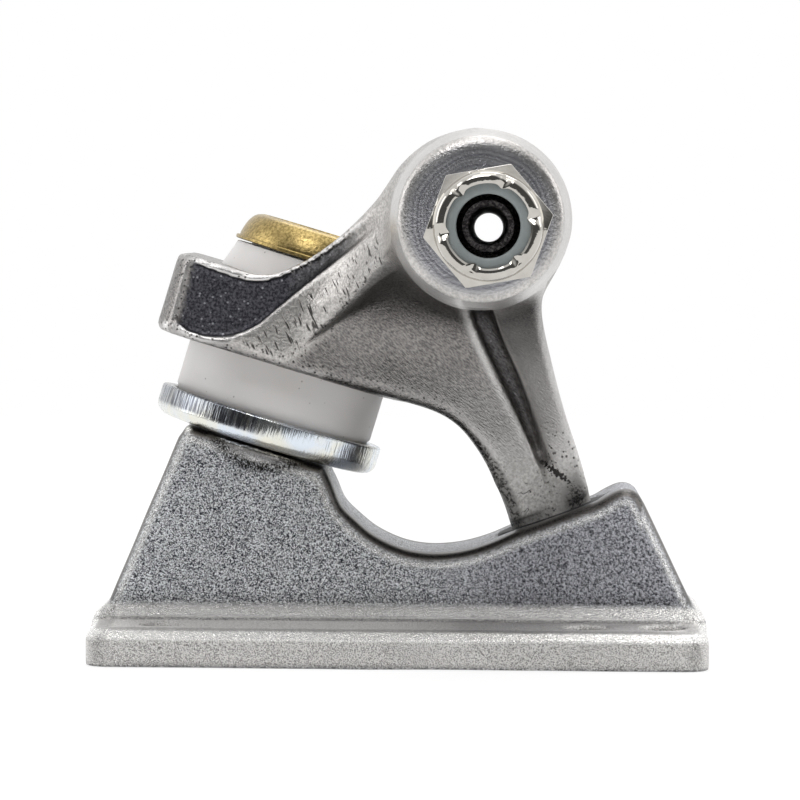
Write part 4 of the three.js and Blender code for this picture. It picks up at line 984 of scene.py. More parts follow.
ring_share = add_node(tree, "ShaderNodeMapRange", {
    "Value": rings.outputs["Fac"], "From Min": 0.35, "From Max": 0.65})
face_colour = add_node(tree, "ShaderNodeMix", {
    0: ring_share.outputs["Result"], 6: colour("94949a"), 7: colour("c0c0c4")},
    data_type="RGBA")
faced_colour = add_node(tree, "ShaderNodeMix", {
    0: faced, 6: web_or_rib.outputs[2], 7: face_colour.outputs[2]}, data_type="RGBA")
# Lightened by wear on convex edges, and by painted highlights on the ridge, the barrel's side and the
# lower web and rear plate.
rubbed_and_highlit = add_node(tree, "ShaderNodeMix", {
    0: wear_and_highlight, 6: faced_colour.outputs[2], 7: colour("e4e2e1")}, data_type="RGBA")
oxide_colour = add_node(tree, "ShaderNodeMix", {
    0: grain_share.outputs["Result"], 6: colour("c9c6c2"), 7: colour("f6f4f1")},
    data_type="RGBA")
oxidised = add_node(tree, "ShaderNodeMix", {
    0: oxide, 6: rubbed_and_highlit.outputs[2], 7: oxide_colour.outputs[2]}, data_type="RGBA")

fold_place = add_node(tree, "ShaderNodeMapping", {
    "Vector": place, "Rotation": (0, FOLD_LEAN, 0),
    "Scale": [size * MM for size in FOLD_SIZE]}, vector_type="TEXTURE")
folds = add_node(tree, "ShaderNodeTexNoise", {
    "Vector": fold_place.outputs["Vector"], "Scale": 1.0, "Detail": 1.0})
fold_line = add_node(tree, "ShaderNodeMapRange", {
    "Value": folds.outputs["Fac"], "From Min": 0.59, "From Max": 0.67, "To Max": 0.9})
fold_here = add_node(tree, "ShaderNodeMath", {
    0: fold_line.outputs["Result"], 1: folded}, operation="MULTIPLY")
pore_cells = add_node(tree, "ShaderNodeTexVoronoi", {
    "Vector": place, "Scale": 1 / (PORE_SPACING * MM)})
pore = add_node(tree, "ShaderNodeMapRange", {
    "Value": pore_cells.outputs["Distance"], "From Min": 0.14, "From Max": 0.3,
    "To Min": 0.9, "To Max": 0.0})
pore_here = add_node(tree, "ShaderNodeMath", {
    0: pore.outputs["Result"], 1: porous}, operation="MULTIPLY")
hollow = add_node(tree, "ShaderNodeMath", {
    0: fold_here.outputs["Value"], 1: pore_here.outputs["Value"]}, operation="MAXIMUM")

# The leg's foot is crazed with fine wandering cracks, 1 to 3 mm long, where the value of a noise
# passes its middle, and only in some patches.
wander = add_node(tree, "ShaderNodeTexNoise", {
    "Vector": place, "Scale": 1 / (CRACK_WANDER * MM), "Detail": 2.5, "Roughness": 0.6})
off_middle = add_node(tree, "ShaderNodeMath", {
    0: wander.outputs["Fac"], 1: 0.5}, operation="SUBTRACT")
how_far = add_node(tree, "ShaderNodeMath", {0: off_middle.outputs["Value"]}, operation="ABSOLUTE")
patchy = add_node(tree, "ShaderNodeTexNoise", {
    "Vector": place, "Scale": 1 / (CRACK_PATCH * MM)})
crack_width = add_node(tree, "ShaderNodeMapRange", {
    "Value": patchy.outputs["Fac"], "From Min": 0.48, "From Max": 0.6, "To Max": 0.02})
crack = add_node(tree, "ShaderNodeMath", {
    0: how_far.outputs["Value"], 1: crack_width.outputs["Result"]}, operation="LESS_THAN")
crack_here = add_node(tree, "ShaderNodeMath", {
    0: crack.outputs["Value"], 1: crazed}, operation="MULTIPLY")
split = add_node(tree, "ShaderNodeMath", {
    0: hollow.outputs["Value"], 1: crack_here.outputs["Value"]}, operation="MAXIMUM")

# A ragged cold shut, nearly 4 mm long, crosses the near side of the leg, where two flows of
# metal met without joining.
shut_place = add_node(tree, "ShaderNodeMapping", {
    "Vector": place, "Location": (SHUT_X * MM, -LEG_HALF * MM, SHUT_Z * MM),
    "Rotation": (0, SHUT_LEAN, 0), "Scale": [size * MM for size in SHUT_SIZE]},
    vector_type="TEXTURE")
from_shut = add_node(tree, "ShaderNodeVectorMath", {
    0: shut_place.outputs["Vector"]}, operation="LENGTH")
ragged_shut = add_node(tree, "ShaderNodeMath", {
    0: grain.outputs["Fac"], 1: 4.0, 2: from_shut.outputs["Value"]}, operation="MULTIPLY_ADD")
shut = add_node(tree, "ShaderNodeMath", {
    0: ragged_shut.outputs["Value"], 1: 3.0}, operation="LESS_THAN")
opened = add_node(tree, "ShaderNodeMath", {
    0: split.outputs["Value"], 1: shut.outputs["Value"]}, operation="MAXIMUM")
# Painted shade in creases and along the leg's front edge, a stain and the mould's marks darken the
# colour towards 383634.
grime_and_shade_grain = add_node(tree, "ShaderNodeMapRange", {
    "Value": grain.outputs["Fac"], "From Min": 0.42, "From Max": 0.58, "To Min": 0.5,
    "To Max": 1.25})
grime_and_shade_share = add_node(tree, "ShaderNodeMath", {
    0: grimy_and_shaded, 1: grime_and_shade_grain.outputs["Result"]}, operation="MULTIPLY", use_clamp=True)
dark = add_node(tree, "ShaderNodeMath", {
    0: opened.outputs["Value"], 1: grime_and_shade_share.outputs["Value"]}, operation="MAXIMUM")
grimed_and_shaded = add_node(tree, "ShaderNodeMix", {
    0: dark.outputs["Value"], 6: oxidised.outputs[2], 7: colour("383634")}, data_type="RGBA")
cast_colour = add_node(tree, "ShaderNodeMix", {
    0: sandy, 6: grimed_and_shaded.outputs[2], 7: sand_glints.outputs[2]}, data_type="RGBA")
soiled = add_node(tree, "ShaderNodeMapRange", {
    "Value": patches.outputs["Fac"], "From Min": 0.3, "From Max": 0.7,
    "To Min": 0.86, "To Max": 1.05})
toned = add_node(tree, "ShaderNodeVectorMath", {
    0: cast_colour.outputs[2], "Scale": soiled.outputs["Result"]}, operation="SCALE")
tree.links.new(toned.outputs["Vector"], shader.inputs["Base Color"])
matt = add_node(tree, "ShaderNodeMath", {0: sandy, 1: oxide}, operation="MAXIMUM")
gloss = add_node(tree, "ShaderNodeMapRange", {
    "Value": matt.outputs["Value"], "To Min": 0.33, "To Max": 0.5})
tree.links.new(gloss.outputs["Result"], shader.inputs["Roughness"])
bare_metal = add_node(tree, "ShaderNodeMapRange", {"Value": oxide, "To Min": 1.0, "To Max": 0.0})
tree.links.new(bare_metal.outputs["Result"], shader.inputs["Metallic"])
relief = add_node(tree, "ShaderNodeMix", {
    0: flat_web, 2: grain.outputs["Fac"], 3: streaks.outputs["Fac"]})
sunk = add_node(tree, "ShaderNodeMath", {
    0: relief.outputs[0], 1: opened.outputs["Value"]}, operation="SUBTRACT")
rough_cast = add_node(tree, "ShaderNodeBump", {
    "Height": sunk.outputs["Value"], "Strength": 0.5, "Distance": CAST_DEPTH * MM})
tree.links.new(rough_cast.outputs["Normal"], shader.inputs["Normal"])

# Where wear, dirt, painted highlights, painted shade, oxide and the mould's marks lie. A pair is
# the place where a band starts and the one where it is full, and each place is in X, Z, a
# distance past an outline or a radius.
ARM_EDGE, RIB_LOW, RIB_LOW_X, RIB_RISE = 1.0, 46.5, -18.0, 0.62
FLOOR_BAND, FLOOR_BEHIND, FLOOR_FADE, FLOOR_FOOT = (0.12, 0.52), 0.5, 1.1, 38.0
FLOOR_OPENING, FLOOR_PALE_BAND, FLOOR_PALE = 0.2, (-15.0, -5.0), 0.45
GROOVE_TOE, GROOVE_NEAR, GROOVE_TOP, GROOVE_REAR, GROOVE_FADE = 20.5, 10.6, 50.0, 1.2, (24.0, 25.0)
RIDGE_LINE, RIDGE_LINE_WIDTH, RIDGE_LOW, RIDGE_TOP = -0.65, 0.5, 26.0, 47.0
STAIN_X, STAIN_Z, STAIN_WIDTH, STAIN_HEIGHT = 22.7, 20.2, 1.5, 2.4
EDGE_SHADE, EDGE_SHADE_LOW, EDGE_SHADE_TOP, EDGE_SHADE_FADE = (0.4, 1.6), 32.0, 0.09, 0.3
UNDER_TOE, CREASE_SHADE_LOW = 15.9, 25.0
BARREL_SHEEN_FROM, BARREL_NEAR, BARREL_INSET = 9.6, 11.5, 0.5
WEB_IN, WEB_TOP, WEB_OFF_BARREL, WEB_BAND = 1.2, 54.0, (11.4, 12.9), (23.0, 31.0)
WEB_SHEEN_BAND, REAR_NEAR, REAR_SHEEN_BAND, REAR_OXIDE_BAND = (38.0, 28.0), 0.3, (46.0, 38.0), (44.0, 36.0)
FOOT_OXIDE_BAND, CRAZED_BAND, CRAZED_TOE = (27.0, 22.0), (26.0, 22.0), 20.5
FOLD_BAND, FOLD_OFF_BARREL = (0.6, 1.6), 13.0
LEG_PORE_Z_BAND, LEG_PORE_X_BAND = (33.0, 27.0), (16.5, 19.5)
RIB_PORE_DEPTH, RIB_PORE_OFF, WEB_PORE_DEPTH, WEB_PORE_TOE = 2.4, 1.5, 4.0, 8.0
FACED_DEPTH, FACED_RADIUS = 0.35, 9.2

block_reach = BARREL_HALF + BLOCK_MARGIN
block_low = np.array([HANGER_LOW[0], -block_reach, HANGER_LOW[1]])
block_high = np.array([HANGER_HIGH[0], block_reach, HANGER_HIGH[1]])
points, faces = skin(hanger_field(*grid_axes(block_low, block_high, HANGER_PITCH)),
                     block_low, HANGER_PITCH)
hanger = new_piece("cast_hanger", points, faces, tumbled_aluminium)
x, y, z = points.T
bulge = convexity(points, faces, 2)
arm_half, arm_slope = spread(x, *ARM_SPREAD)
behind_face = (arm_half - np.abs(y)) / np.hypot(1, arm_slope)
past_opening, past_arm, past_web, past_rear, past_ridge = (
    outline_field(outline, x, z)
    for outline in (RECESS_OUTLINE, ARM_OUTLINE, WEB_OUTLINE, REAR_OUTLINE, FRONT_OUTLINE))
from_under_edge = outline_field(np.vstack([UNDER_EDGE, UNDER_EDGE[-2:0:-1]]), x, z)
from_barrel = np.hypot(x - BARREL_X, z - BARREL_Z)
off_arm, near_rear = past_arm > 0, past_rear < REAR_NEAR
on_rib = (past_arm < 0) * (np.abs(y) > arm_half - ARM_EDGE)
low_on_rib = on_rib * (z < RIB_LOW + RIB_RISE * np.maximum(x - RIB_LOW_X, 0))

on_floor = faded(-heel_wall_field(x, z, behind_face), *FLOOR_BAND)
on_floor = on_floor * (past_opening < FLOOR_OPENING) * (z > FLOOR_FOOT)
recess_floor = np.clip((behind_face - FLOOR_BEHIND) / FLOOR_FADE * on_floor, 0, 1)
recess_floor = recess_floor * (1 - FLOOR_PALE * faded(x, *FLOOR_PALE_BAND))
in_groove = np.minimum(np.minimum(past_ridge, past_rear) * 1.2, 0.5)
in_groove = in_groove * (x < GROOVE_TOE) * (from_barrel > GROOVE_NEAR) * (z < GROOVE_TOP)
in_groove = in_groove * np.clip(past_rear / GROOVE_REAR, 0.35, 1) * faded(z, *GROOVE_FADE)
# A painted highlight along the ridge.
ridge_highlight_line = line_at(past_ridge, RIDGE_LINE, RIDGE_LINE_WIDTH) * off_arm
ridge_highlight_line = ridge_highlight_line * (z > RIDGE_LOW) * (z < RIDGE_TOP)
stain_x, stain_z = (x - STAIN_X) / STAIN_WIDTH, (z - STAIN_Z) / STAIN_HEIGHT
stain = 1.2 * np.exp(-(stain_x**2 + stain_z**2)) * (y < 0)
edge_width = np.clip(EDGE_SHADE[0] + (EDGE_SHADE_LOW - z) * EDGE_SHADE_TOP, *EDGE_SHADE)
under_shade = np.clip((edge_width - from_under_edge) / EDGE_SHADE_FADE, 0, 0.8)
under_shade = under_shade * off_arm * (x < UNDER_TOE)
# Painted shade in concave creases.
crease_shade = np.minimum(-bulge - 0.35, 0.3) * (z > CREASE_SHADE_LOW) * (past_ridge < 0)
# A painted sheen on the barrel's side.
barrel_side_sheen = np.clip((from_barrel - BARREL_SHEEN_FROM) * 2, 0, 0.2)
barrel_side_sheen = barrel_side_sheen * (from_barrel < BARREL_NEAR) * (np.abs(y) < BARREL_HALF - BARREL_INSET)
on_web = np.clip(past_arm / WEB_IN, 0, 1) * (np.abs(y) < arm_half) * (z < WEB_TOP)
on_web = on_web * faded(from_barrel, *WEB_OFF_BARREL) * faded(z, *WEB_BAND)
leg_pores = 0.9 * faded(z, *LEG_PORE_Z_BAND) * faded(x, *LEG_PORE_X_BAND)
rib_pores = (np.clip(1 + past_arm / RIB_PORE_DEPTH, 0, 1) * low_on_rib
             * (past_opening > RIB_PORE_OFF))
web_pores = (np.clip(1 + past_web / WEB_PORE_DEPTH, 0, 1) * off_arm
             * (np.abs(y) < arm_half) * (x < WEB_PORE_TOE))
# Wear on convex edges, and painted highlights on the ridge, the barrel's side and the lower web and
# rear plate.
add_share(hanger, "burnished_and_highlit", np.maximum.reduce([
    bulge - 0.25, barrel_side_sheen, ridge_highlight_line,
    0.35 * off_arm * (past_ridge < 0) * faded(z, *WEB_SHEEN_BAND),
    0.6 * near_rear * faded(z, *REAR_SHEEN_BAND)]))
add_share(hanger, "oxide", np.maximum.reduce([
    faded(z, *FOOT_OXIDE_BAND), 0.5 * ridge_highlight_line,
    0.2 * near_rear * faded(z, *REAR_OXIDE_BAND)]))
# Painted shade in creases and along the leg's front edge, and a stain.
add_share(hanger, "grime_and_painted_shade", np.maximum.reduce([crease_shade, stain, under_shade]))
add_share(hanger, "recess", np.maximum(recess_floor, in_groove))
add_share(hanger, "web", on_web)
add_share(hanger, "folds", low_on_rib * faded(past_opening, *FOLD_BAND)
          * (from_barrel > FOLD_OFF_BARREL))
add_share(hanger, "pores", np.maximum.reduce([leg_pores, rib_pores, web_pores]))
add_share(hanger, "crazed", faded(z, *CRAZED_BAND) * (x < CRAZED_TOE))
add_share(hanger, "faced", (np.abs(y) > BARREL_HALF - FACED_DEPTH) * (FACED_RADIUS - from_barrel))
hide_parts("hanger")
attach(hanger, "hanger")


# Top bushing
# The smaller urethane bushing, a short cone between the ring and the top washer.
TOP_BUSHING_SHOULDER, TOP_BUSHING_LOW, TOP_BUSHING_HIGH = 10.9, 17.4, 26.6
TOP_WASHER_RADIUS, TOP_WASHER_LOW = 11.3, 24.9
KINGPIN_HEAD_RADIUS, KINGPIN_HEAD_HIGH = 7.4, 28.3
CONE_ROWS, CUP_PLAY = 6, 0.6

shoulder = TOP_WASHER_LOW - FIT
in_cup = TOP_WASHER_RADIUS - WASHER_GAUGE - CUP_PLAY
seat_radius = KINGPIN_HEAD_RADIUS - (KINGPIN_HEAD_HIGH - TOP_BUSHING_HIGH) + FIT
cone = np.linspace(0, 1, CONE_ROWS)[:, None]
profile = np.vstack([
    eased([(BUSHING_BORE, TOP_BUSHING_LOW), (TOP_BUSHING_RADIUS, TOP_BUSHING_LOW),
           (TOP_BUSHING_RADIUS, RING_HIGH)], BUSHING_ROUND)[4:-4],
    np.array([TOP_BUSHING_RADIUS, RING_HIGH])
    + cone * np.array([TOP_BUSHING_SHOULDER - TOP_BUSHING_RADIUS, shoulder - RING_HIGH]),
    [(in_cup, shoulder), (in_cup - CUP_PLAY, TOP_BUSHING_HIGH), (seat_radius, TOP_BUSHING_HIGH),
     (BUSHING_BORE, TOP_BUSHING_HIGH - (seat_radius - BUSHING_BORE)),
     (BUSHING_BORE, TOP_BUSHING_LOW)],
])
top_bushing = turned("top_bushing_urethane", profile, kingpin_frame, white_urethane,
                     WASHER_SIDES)
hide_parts("top_bushing")
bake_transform(top_bushing)


# Top washer
# A brass-plated cup washer, domed over the top bushing, with a thin lip round its mouth. The
# kingpin's head lies in its countersink.
TOP_WASHER_FLAT, LIP_HEIGHT, LIP_ROUND, LIP_STEP = 8.6, 0.56, 0.12, 0.42
COUNTERSINK_PLAY, MOUTH_PLAY = 0.6, 0.8
# The lip's rounded top: how far each point lies inside its side, and below its top
LIP_POINTS = ((0.0, 0.14), (0.1, 0.04), (LIP_STEP, 0.0))

# Brass plate: warm and satin, with a fine sandy speckle.
SANDY_WIDTH, SANDY_DEPTH = 0.35, 0.08

brass_plate, tree, shader = new_material("satin_brass_plate")
place = add_node(tree, "ShaderNodeTexCoord", {}).outputs["Object"]
speckle = add_node(tree, "ShaderNodeTexNoise", {
    "Vector": place, "Scale": 1 / (SANDY_WIDTH * MM), "Detail": 3.0, "Roughness": 0.7})
speckle_share = add_node(tree, "ShaderNodeMapRange", {
    "Value": speckle.outputs["Fac"], "From Min": 0.35, "From Max": 0.65})
warm = add_node(tree, "ShaderNodeMix", {
    0: speckle_share.outputs["Result"], 6: colour("7c6c42"), 7: colour("c0a870")},
    data_type="RGBA")
tree.links.new(warm.outputs[2], shader.inputs["Base Color"])
satin = add_node(tree, "ShaderNodeBump", {
    "Height": speckle.outputs["Fac"], "Strength": 0.35, "Distance": SANDY_DEPTH * MM})
tree.links.new(satin.outputs["Normal"], shader.inputs["Normal"])
shader.inputs["Metallic"].default_value = 1.0
shader.inputs["Roughness"].default_value = 0.3

brim = TOP_WASHER_RADIUS - WASHER_GAUGE
ceiling = TOP_BUSHING_HIGH + FIT
hole_low = KINGPIN_HEAD_RADIUS - (KINGPIN_HEAD_HIGH - ceiling) + COUNTERSINK_PLAY
hole_high = KINGPIN_HEAD_RADIUS + MOUTH_PLAY
lip_side, dome_foot = TOP_WASHER_RADIUS, TOP_WASHER_RADIUS - LIP_STEP
profile = np.vstack([
    [(hole_low, ceiling), (brim - FIT, ceiling), (brim, TOP_WASHER_LOW),
     (lip_side - LIP_ROUND, TOP_WASHER_LOW), (lip_side, TOP_WASHER_LOW + LIP_ROUND)],
    [(lip_side - inside, TOP_WASHER_LOW + LIP_HEIGHT - below) for inside, below in LIP_POINTS],
    curve([(dome_foot, TOP_WASHER_LOW + 0.8), (dome_foot - 0.2, 26.5), (dome_foot - 0.58, 27.5),
           (dome_foot - 1.28, 28.4), (TOP_WASHER_FLAT, TOP_WASHER_HIGH)], 4),
    [(hole_high, TOP_WASHER_HIGH)],
])
top_washer = turned("top_cup_washer", profile, kingpin_frame, brass_plate, WASHER_SIDES)
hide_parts("top_washer")
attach(top_washer, "top_washer")


# Kingpin
# The bolt that holds the stack together: forged steel, blackened, with a countersunk head, a
# hexagon socket, and a rolled thread of 24 to the inch at its lower end.
KINGPIN_LOW, KINGPIN_CHAMFER, KINGPIN_THREAD, KINGPIN_SIDES = -22.3, 1.0, 14.0, 72
THREAD_PITCH, THREAD_DEPTH, ROWS_PER_TURN = 25.4 / 24, 0.45, 8
HEAD_ROUND, HEAD_EASE = 0.2, 0.35
HEX_SOCKET_FLATS, HEX_SOCKET_DEPTH, HEX_CHAMFER, HEX_FLARE = 5.56, 4.0, 0.25, 1.06

# Black oxide on steel: dark, oily and slightly brown where it is worn.
OXIDE_WIDTH, OXIDE_DEPTH = 0.6, 0.06

black_steel, tree, shader = new_material("black_oxide_steel")
place = add_node(tree, "ShaderNodeTexCoord", {}).outputs["Object"]
oxide = add_node(tree, "ShaderNodeTexNoise", {
    "Vector": place, "Scale": 1 / (OXIDE_WIDTH * MM), "Detail": 4.0, "Roughness": 0.65})
oxide_colour = add_node(tree, "ShaderNodeMix", {
    0: oxide.outputs["Fac"], 6: colour("2a292b"), 7: colour("565254")}, data_type="RGBA")
tree.links.new(oxide_colour.outputs[2], shader.inputs["Base Color"])
scale_bump = add_node(tree, "ShaderNodeBump", {
    "Height": oxide.outputs["Fac"], "Strength": 0.25, "Distance": OXIDE_DEPTH * MM})
tree.links.new(scale_bump.outputs["Normal"], shader.inputs["Normal"])
shader.inputs["Metallic"].default_value = 1.0
shader.inputs["Roughness"].default_value = 0.38


def thread_depth(height, angle, low, high):
    """How far a thread cuts in: a triangle wave of height / pitch - turn, fading in over the
    first and last turn."""
    phase = (height / THREAD_PITCH - angle / (2 * np.pi)) % 1
    fade = np.clip(np.minimum(height - low, high - height) / THREAD_PITCH, 0, 1)
    return THREAD_DEPTH * np.abs(2 * phase - 1) * fade


def hexagon_radius(flats, angles):
    """The radius of a hexagon in a direction: half its flats, over the cosine of the angle from
    the middle of the nearest flat."""
    from_flat = (angles + np.radians(30)) % np.radians(60) - np.radians(30)
    return flats / 2 / np.cos(from_flat)


angles = np.arange(KINGPIN_SIDES) * 2 * np.pi / KINGPIN_SIDES
head_low = KINGPIN_HEAD_HIGH - (KINGPIN_HEAD_RADIUS - KINGPIN_RADIUS)
thread_low = KINGPIN_LOW + KINGPIN_CHAMFER
thread_high = thread_low + KINGPIN_THREAD
thread_rows = np.arange(thread_low, thread_high, THREAD_PITCH / ROWS_PER_TURN)
heights = np.concatenate([[KINGPIN_LOW, KINGPIN_LOW], thread_rows, [
    thread_high, head_low, KINGPIN_HEAD_HIGH - HEAD_ROUND, KINGPIN_HEAD_HIGH]])
shank = np.full(len(heights), KINGPIN_RADIUS)
shank[:2] = 0, KINGPIN_RADIUS - KINGPIN_CHAMFER
shank[-2:] = KINGPIN_HEAD_RADIUS - HEAD_ROUND, KINGPIN_HEAD_RADIUS - HEAD_EASE
radius = shank - thread_depth(heights, angles[:, None], thread_low, thread_high)
key = hexagon_radius(HEX_SOCKET_FLATS, angles)[:, None]
socket_floor = KINGPIN_HEAD_HIGH - HEX_SOCKET_DEPTH
socket_rows = np.array([(HEX_FLARE, KINGPIN_HEAD_HIGH), (1, KINGPIN_HEAD_HIGH - HEX_CHAMFER),
                        (1, socket_floor), (0, socket_floor)])
radius = np.hstack([radius, key * socket_rows[:, 0]])
height = np.tile(np.concatenate([heights, socket_rows[:, 1]]), (KINGPIN_SIDES, 1))
kingpin = closed_piece("kingpin_bolt", swept(radius, height, kingpin_frame, angles).reshape(-1, 3),
                       grid_faces(KINGPIN_SIDES, radius.shape[1], closed=False), black_steel)
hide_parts("kingpin")
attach(kingpin, "kingpin")


# Kingpin nut
# A zinc-plated lock nut that is held from turning by the pocket under the baseplate. Its crown
# is rolled over a nylon ring that grips the thread.
NUT_HIGH, NUT_HEIGHT, NUT_CROWN, NUT_RING_RADIUS = -12.3, 9.0, 2.6, 6.2
NUT_SIDES, RING_SIDES, NUT_CREASE, RING_SUNK, RING_EASE = 144, 64, 28.0, 0.7, 0.3
NUT_BEVEL, STAKE_HALF, LIP_OVER_RING, RING_ROOM = np.radians(30), np.radians(6), 0.6, 0.2
NUT_FACE_INSET, NUT_EDGE_EASE, RING_LIP, RING_STAND = 0.15, 0.12, 0.45, 0.1
# How far the hexagon's two ends are drawn in where the cones meet it, and the lower one raised
NUT_END_IN, NUT_END_UP = (0.04, 0.06), 0.02
# The crown's foot: how far each row lies inside the flats, and above the hexagon. Then its
# dome: how far inside the flats and below the top, and how much further in and down at a
# stake. Its lip is given as the dome is, but from the lip's own edge outwards.
CROWN_FOOT_ROWS = ((0.05, 0.0), (0.2, 0.1), (0.3, 0.45))
CROWN_ROWS = ((0.36, 0.75, 0.25, 0.0), (0.48, 0.38, 0.45, 0.1), (0.66, 0.14, 0.55, 0.3),
              (0.88, 0.02, 0.45, 0.45), (1.15, 0.0, 0.4, 0.5))
# The row between dome and lip: the lesser of a place inside the flats and one outside the
# lip, how far below the top it is, and how much further in and down at a stake
CROWN_INSIDE, LIP_OUTSIDE, TURN_BELOW, TURN_IN, TURN_DOWN = 1.42, 0.25, 0.02, 0.3, 0.45
LIP_ROWS = ((0.02, 0.16, 0.35, 0.35), (0.0, 0.42, 0.3, 0.15))

# Nylon, moulded: satin grey-green, worn dull by the thread.
NYLON_MOTTLE_WIDTH = 0.9

grey_nylon, tree, shader = new_material("moulded_grey_nylon")
place = add_node(tree, "ShaderNodeTexCoord", {}).outputs["Object"]
mottle = add_node(tree, "ShaderNodeTexNoise", {
    "Vector": place, "Scale": 1 / (NYLON_MOTTLE_WIDTH * MM), "Detail": 3.0})
nylon_colour = add_node(tree, "ShaderNodeMix", {
    0: mottle.outputs["Fac"], 6: colour("7d8586"), 7: colour("979e9c")}, data_type="RGBA")
tree.links.new(nylon_colour.outputs[2], shader.inputs["Base Color"])
shader.inputs["Roughness"].default_value = 0.45
shader.inputs["IOR"].default_value = 1.53


def lock_nut(name, frame, material, flats, height, crown, hole, ring_radius, turn):
    """A lock nut that stands on its bearing face. On a hexagon's side the radius is the
    hexagon's, from the height where a 30 degree cone from one face meets it to the same height
    from the other. The crown above is domed, turned in over its ring, and staked at six places,
    each a dip of exp(-(angle / width)^2)."""
    angles = np.arange(NUT_SIDES) * 2 * np.pi / NUT_SIDES
    side = hexagon_radius(flats, angles - turn)
    bevel = (side - flats / 2) * np.tan(NUT_BEVEL)
    top = height - crown
    lip = ring_radius - LIP_OVER_RING
    from_stake = (angles - turn) % np.radians(60) - np.radians(30)
    stake = line_at(from_stake, 0, STAKE_HALF)
    one = np.ones(NUT_SIDES)
    rows = [
        (hole * one, 0 * one),
        ((flats / 2 - NUT_FACE_INSET) * one, 0 * one),
        (side - NUT_END_IN[0], bevel + NUT_END_UP),
        (side, bevel + NUT_EDGE_EASE),
        (side, top - bevel - NUT_EDGE_EASE),
        (side - NUT_END_IN[1], top - bevel),
        *(((flats / 2 - inside) * one, (top + above) * one) for inside, above in CROWN_FOOT_ROWS),
        *((flats / 2 - inside - further_in * stake, height - below - further_down * stake)
          for inside, below, further_in, further_down in CROWN_ROWS),
        (np.minimum(flats / 2 - CROWN_INSIDE, lip + LIP_OUTSIDE) - TURN_IN * stake,
         height - TURN_BELOW - TURN_DOWN * stake),
        *((lip + outside - further_in * stake, height - below - further_down * stake)
          for outside, below, further_in, further_down in LIP_ROWS),
        ((ring_radius + RING_ROOM) * one, (height - RING_LIP) * one),
        ((ring_radius + RING_ROOM) * one, top * one),
        (hole * one, top * one),
    ]
    radius, level = (np.stack([row[k] for row in rows], axis=1) for k in range(2))
    points = swept(radius, level, frame, angles).reshape(-1, 3)
    return closed_piece(name, points, grid_faces(NUT_SIDES, len(rows), closed=True), material,
                        NUT_CREASE)


centre, _, _, along = kingpin_frame
nut_frame = axis_frame(centre + NUT_HIGH * along, -along)
kingpin_nut = lock_nut("kingpin_lock_nut", nut_frame, zinc_steel, NUT_FLATS, NUT_HEIGHT,
                       NUT_CROWN, KINGPIN_RADIUS + FIT, NUT_RING_RADIUS, 0)
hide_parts("kingpin_nut")
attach(kingpin_nut, "base")
ring_low, ring_high = NUT_HEIGHT - NUT_CROWN + RING_STAND, NUT_HEIGHT - RING_SUNK
kingpin_ring = turned("kingpin_nut_ring", eased([
    (KINGPIN_RADIUS + FIT, ring_low), (NUT_RING_RADIUS, ring_low), (NUT_RING_RADIUS, ring_high),
    (KINGPIN_RADIUS + FIT, ring_high)], RING_EASE), nut_frame, grey_nylon, RING_SIDES)
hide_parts("kingpin_nut_insert")
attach(kingpin_ring, "base")


# Axle
# A hollow axle of heat-treated steel, cast into the barrel, with a thread at either end.
AXLE_HALF, AXLE_BORE, AXLE_BORE_CHAMFER, AXLE_SIDES = 107.95, 2.12, 0.15, 64
AXLE_CHAMFER, AXLE_THREAD = 1.1, 15.0

# Heat-treated steel: nearly black, with scale that shows as fine pale specks.
SCALE_WIDTH, SCALE_DEPTH = 0.3, 0.05

dark_steel, tree, shader = new_material("heat_treated_steel")
place = add_node(tree, "ShaderNodeTexCoord", {}).outputs["Object"]
scale = add_node(tree, "ShaderNodeTexNoise", {
    "Vector": place, "Scale": 1 / (SCALE_WIDTH * MM), "Detail": 4.0, "Roughness": 0.75})
fleck = add_node(tree, "ShaderNodeMapRange", {
    "Value": scale.outputs["Fac"], "From Min": 0.46, "From Max": 0.7})
steel_colour = add_node(tree, "ShaderNodeMix", {
    0: fleck.outputs["Result"], 6: colour("2b2829"), 7: colour("8a8585")}, data_type="RGBA")
tree.links.new(steel_colour.outputs[2], shader.inputs["Base Color"])
pitted = add_node(tree, "ShaderNodeBump", {
    "Height": scale.outputs["Fac"], "Strength": 0.35, "Distance": SCALE_DEPTH * MM})
tree.links.new(pitted.outputs["Normal"], shader.inputs["Normal"])
shader.inputs["Metallic"].default_value = 1.0
shader.inputs["Roughness"].default_value = 0.4

axle_frame = axis_frame((AXLE_X, 0, AXLE_Z), (0, 1, 0))
angles = np.arange(AXLE_SIDES) * 2 * np.pi / AXLE_SIDES
plain = AXLE_HALF - AXLE_THREAD
thread_rows = np.arange(plain, AXLE_HALF - AXLE_CHAMFER, THREAD_PITCH / ROWS_PER_TURN)
outer = np.concatenate([thread_rows, [AXLE_HALF - AXLE_CHAMFER]])
heights = np.concatenate([-outer[::-1], outer])
radius = AXLE_RADIUS - thread_depth(np.abs(heights), np.sign(heights) * angles[:, None],
                                    plain, AXLE_HALF + THREAD_PITCH)
ends = np.tile([AXLE_RADIUS - AXLE_CHAMFER, AXLE_BORE + AXLE_BORE_CHAMFER, AXLE_BORE],
               (AXLE_SIDES, 1))
radius = np.hstack([radius, ends, ends[:, ::-1]])
end_heights = np.array([AXLE_HALF, AXLE_HALF, AXLE_HALF - AXLE_BORE_CHAMFER])
height = np.tile(np.concatenate([heights, end_heights, -end_heights[::-1]]), (AXLE_SIDES, 1))
axle = closed_piece("hollow_axle", swept(radius, height, axle_frame, angles).reshape(-1, 3),
                    grid_faces(AXLE_SIDES, radius.shape[1], closed=True), dark_steel)
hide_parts("axle")
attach(axle, "hanger")


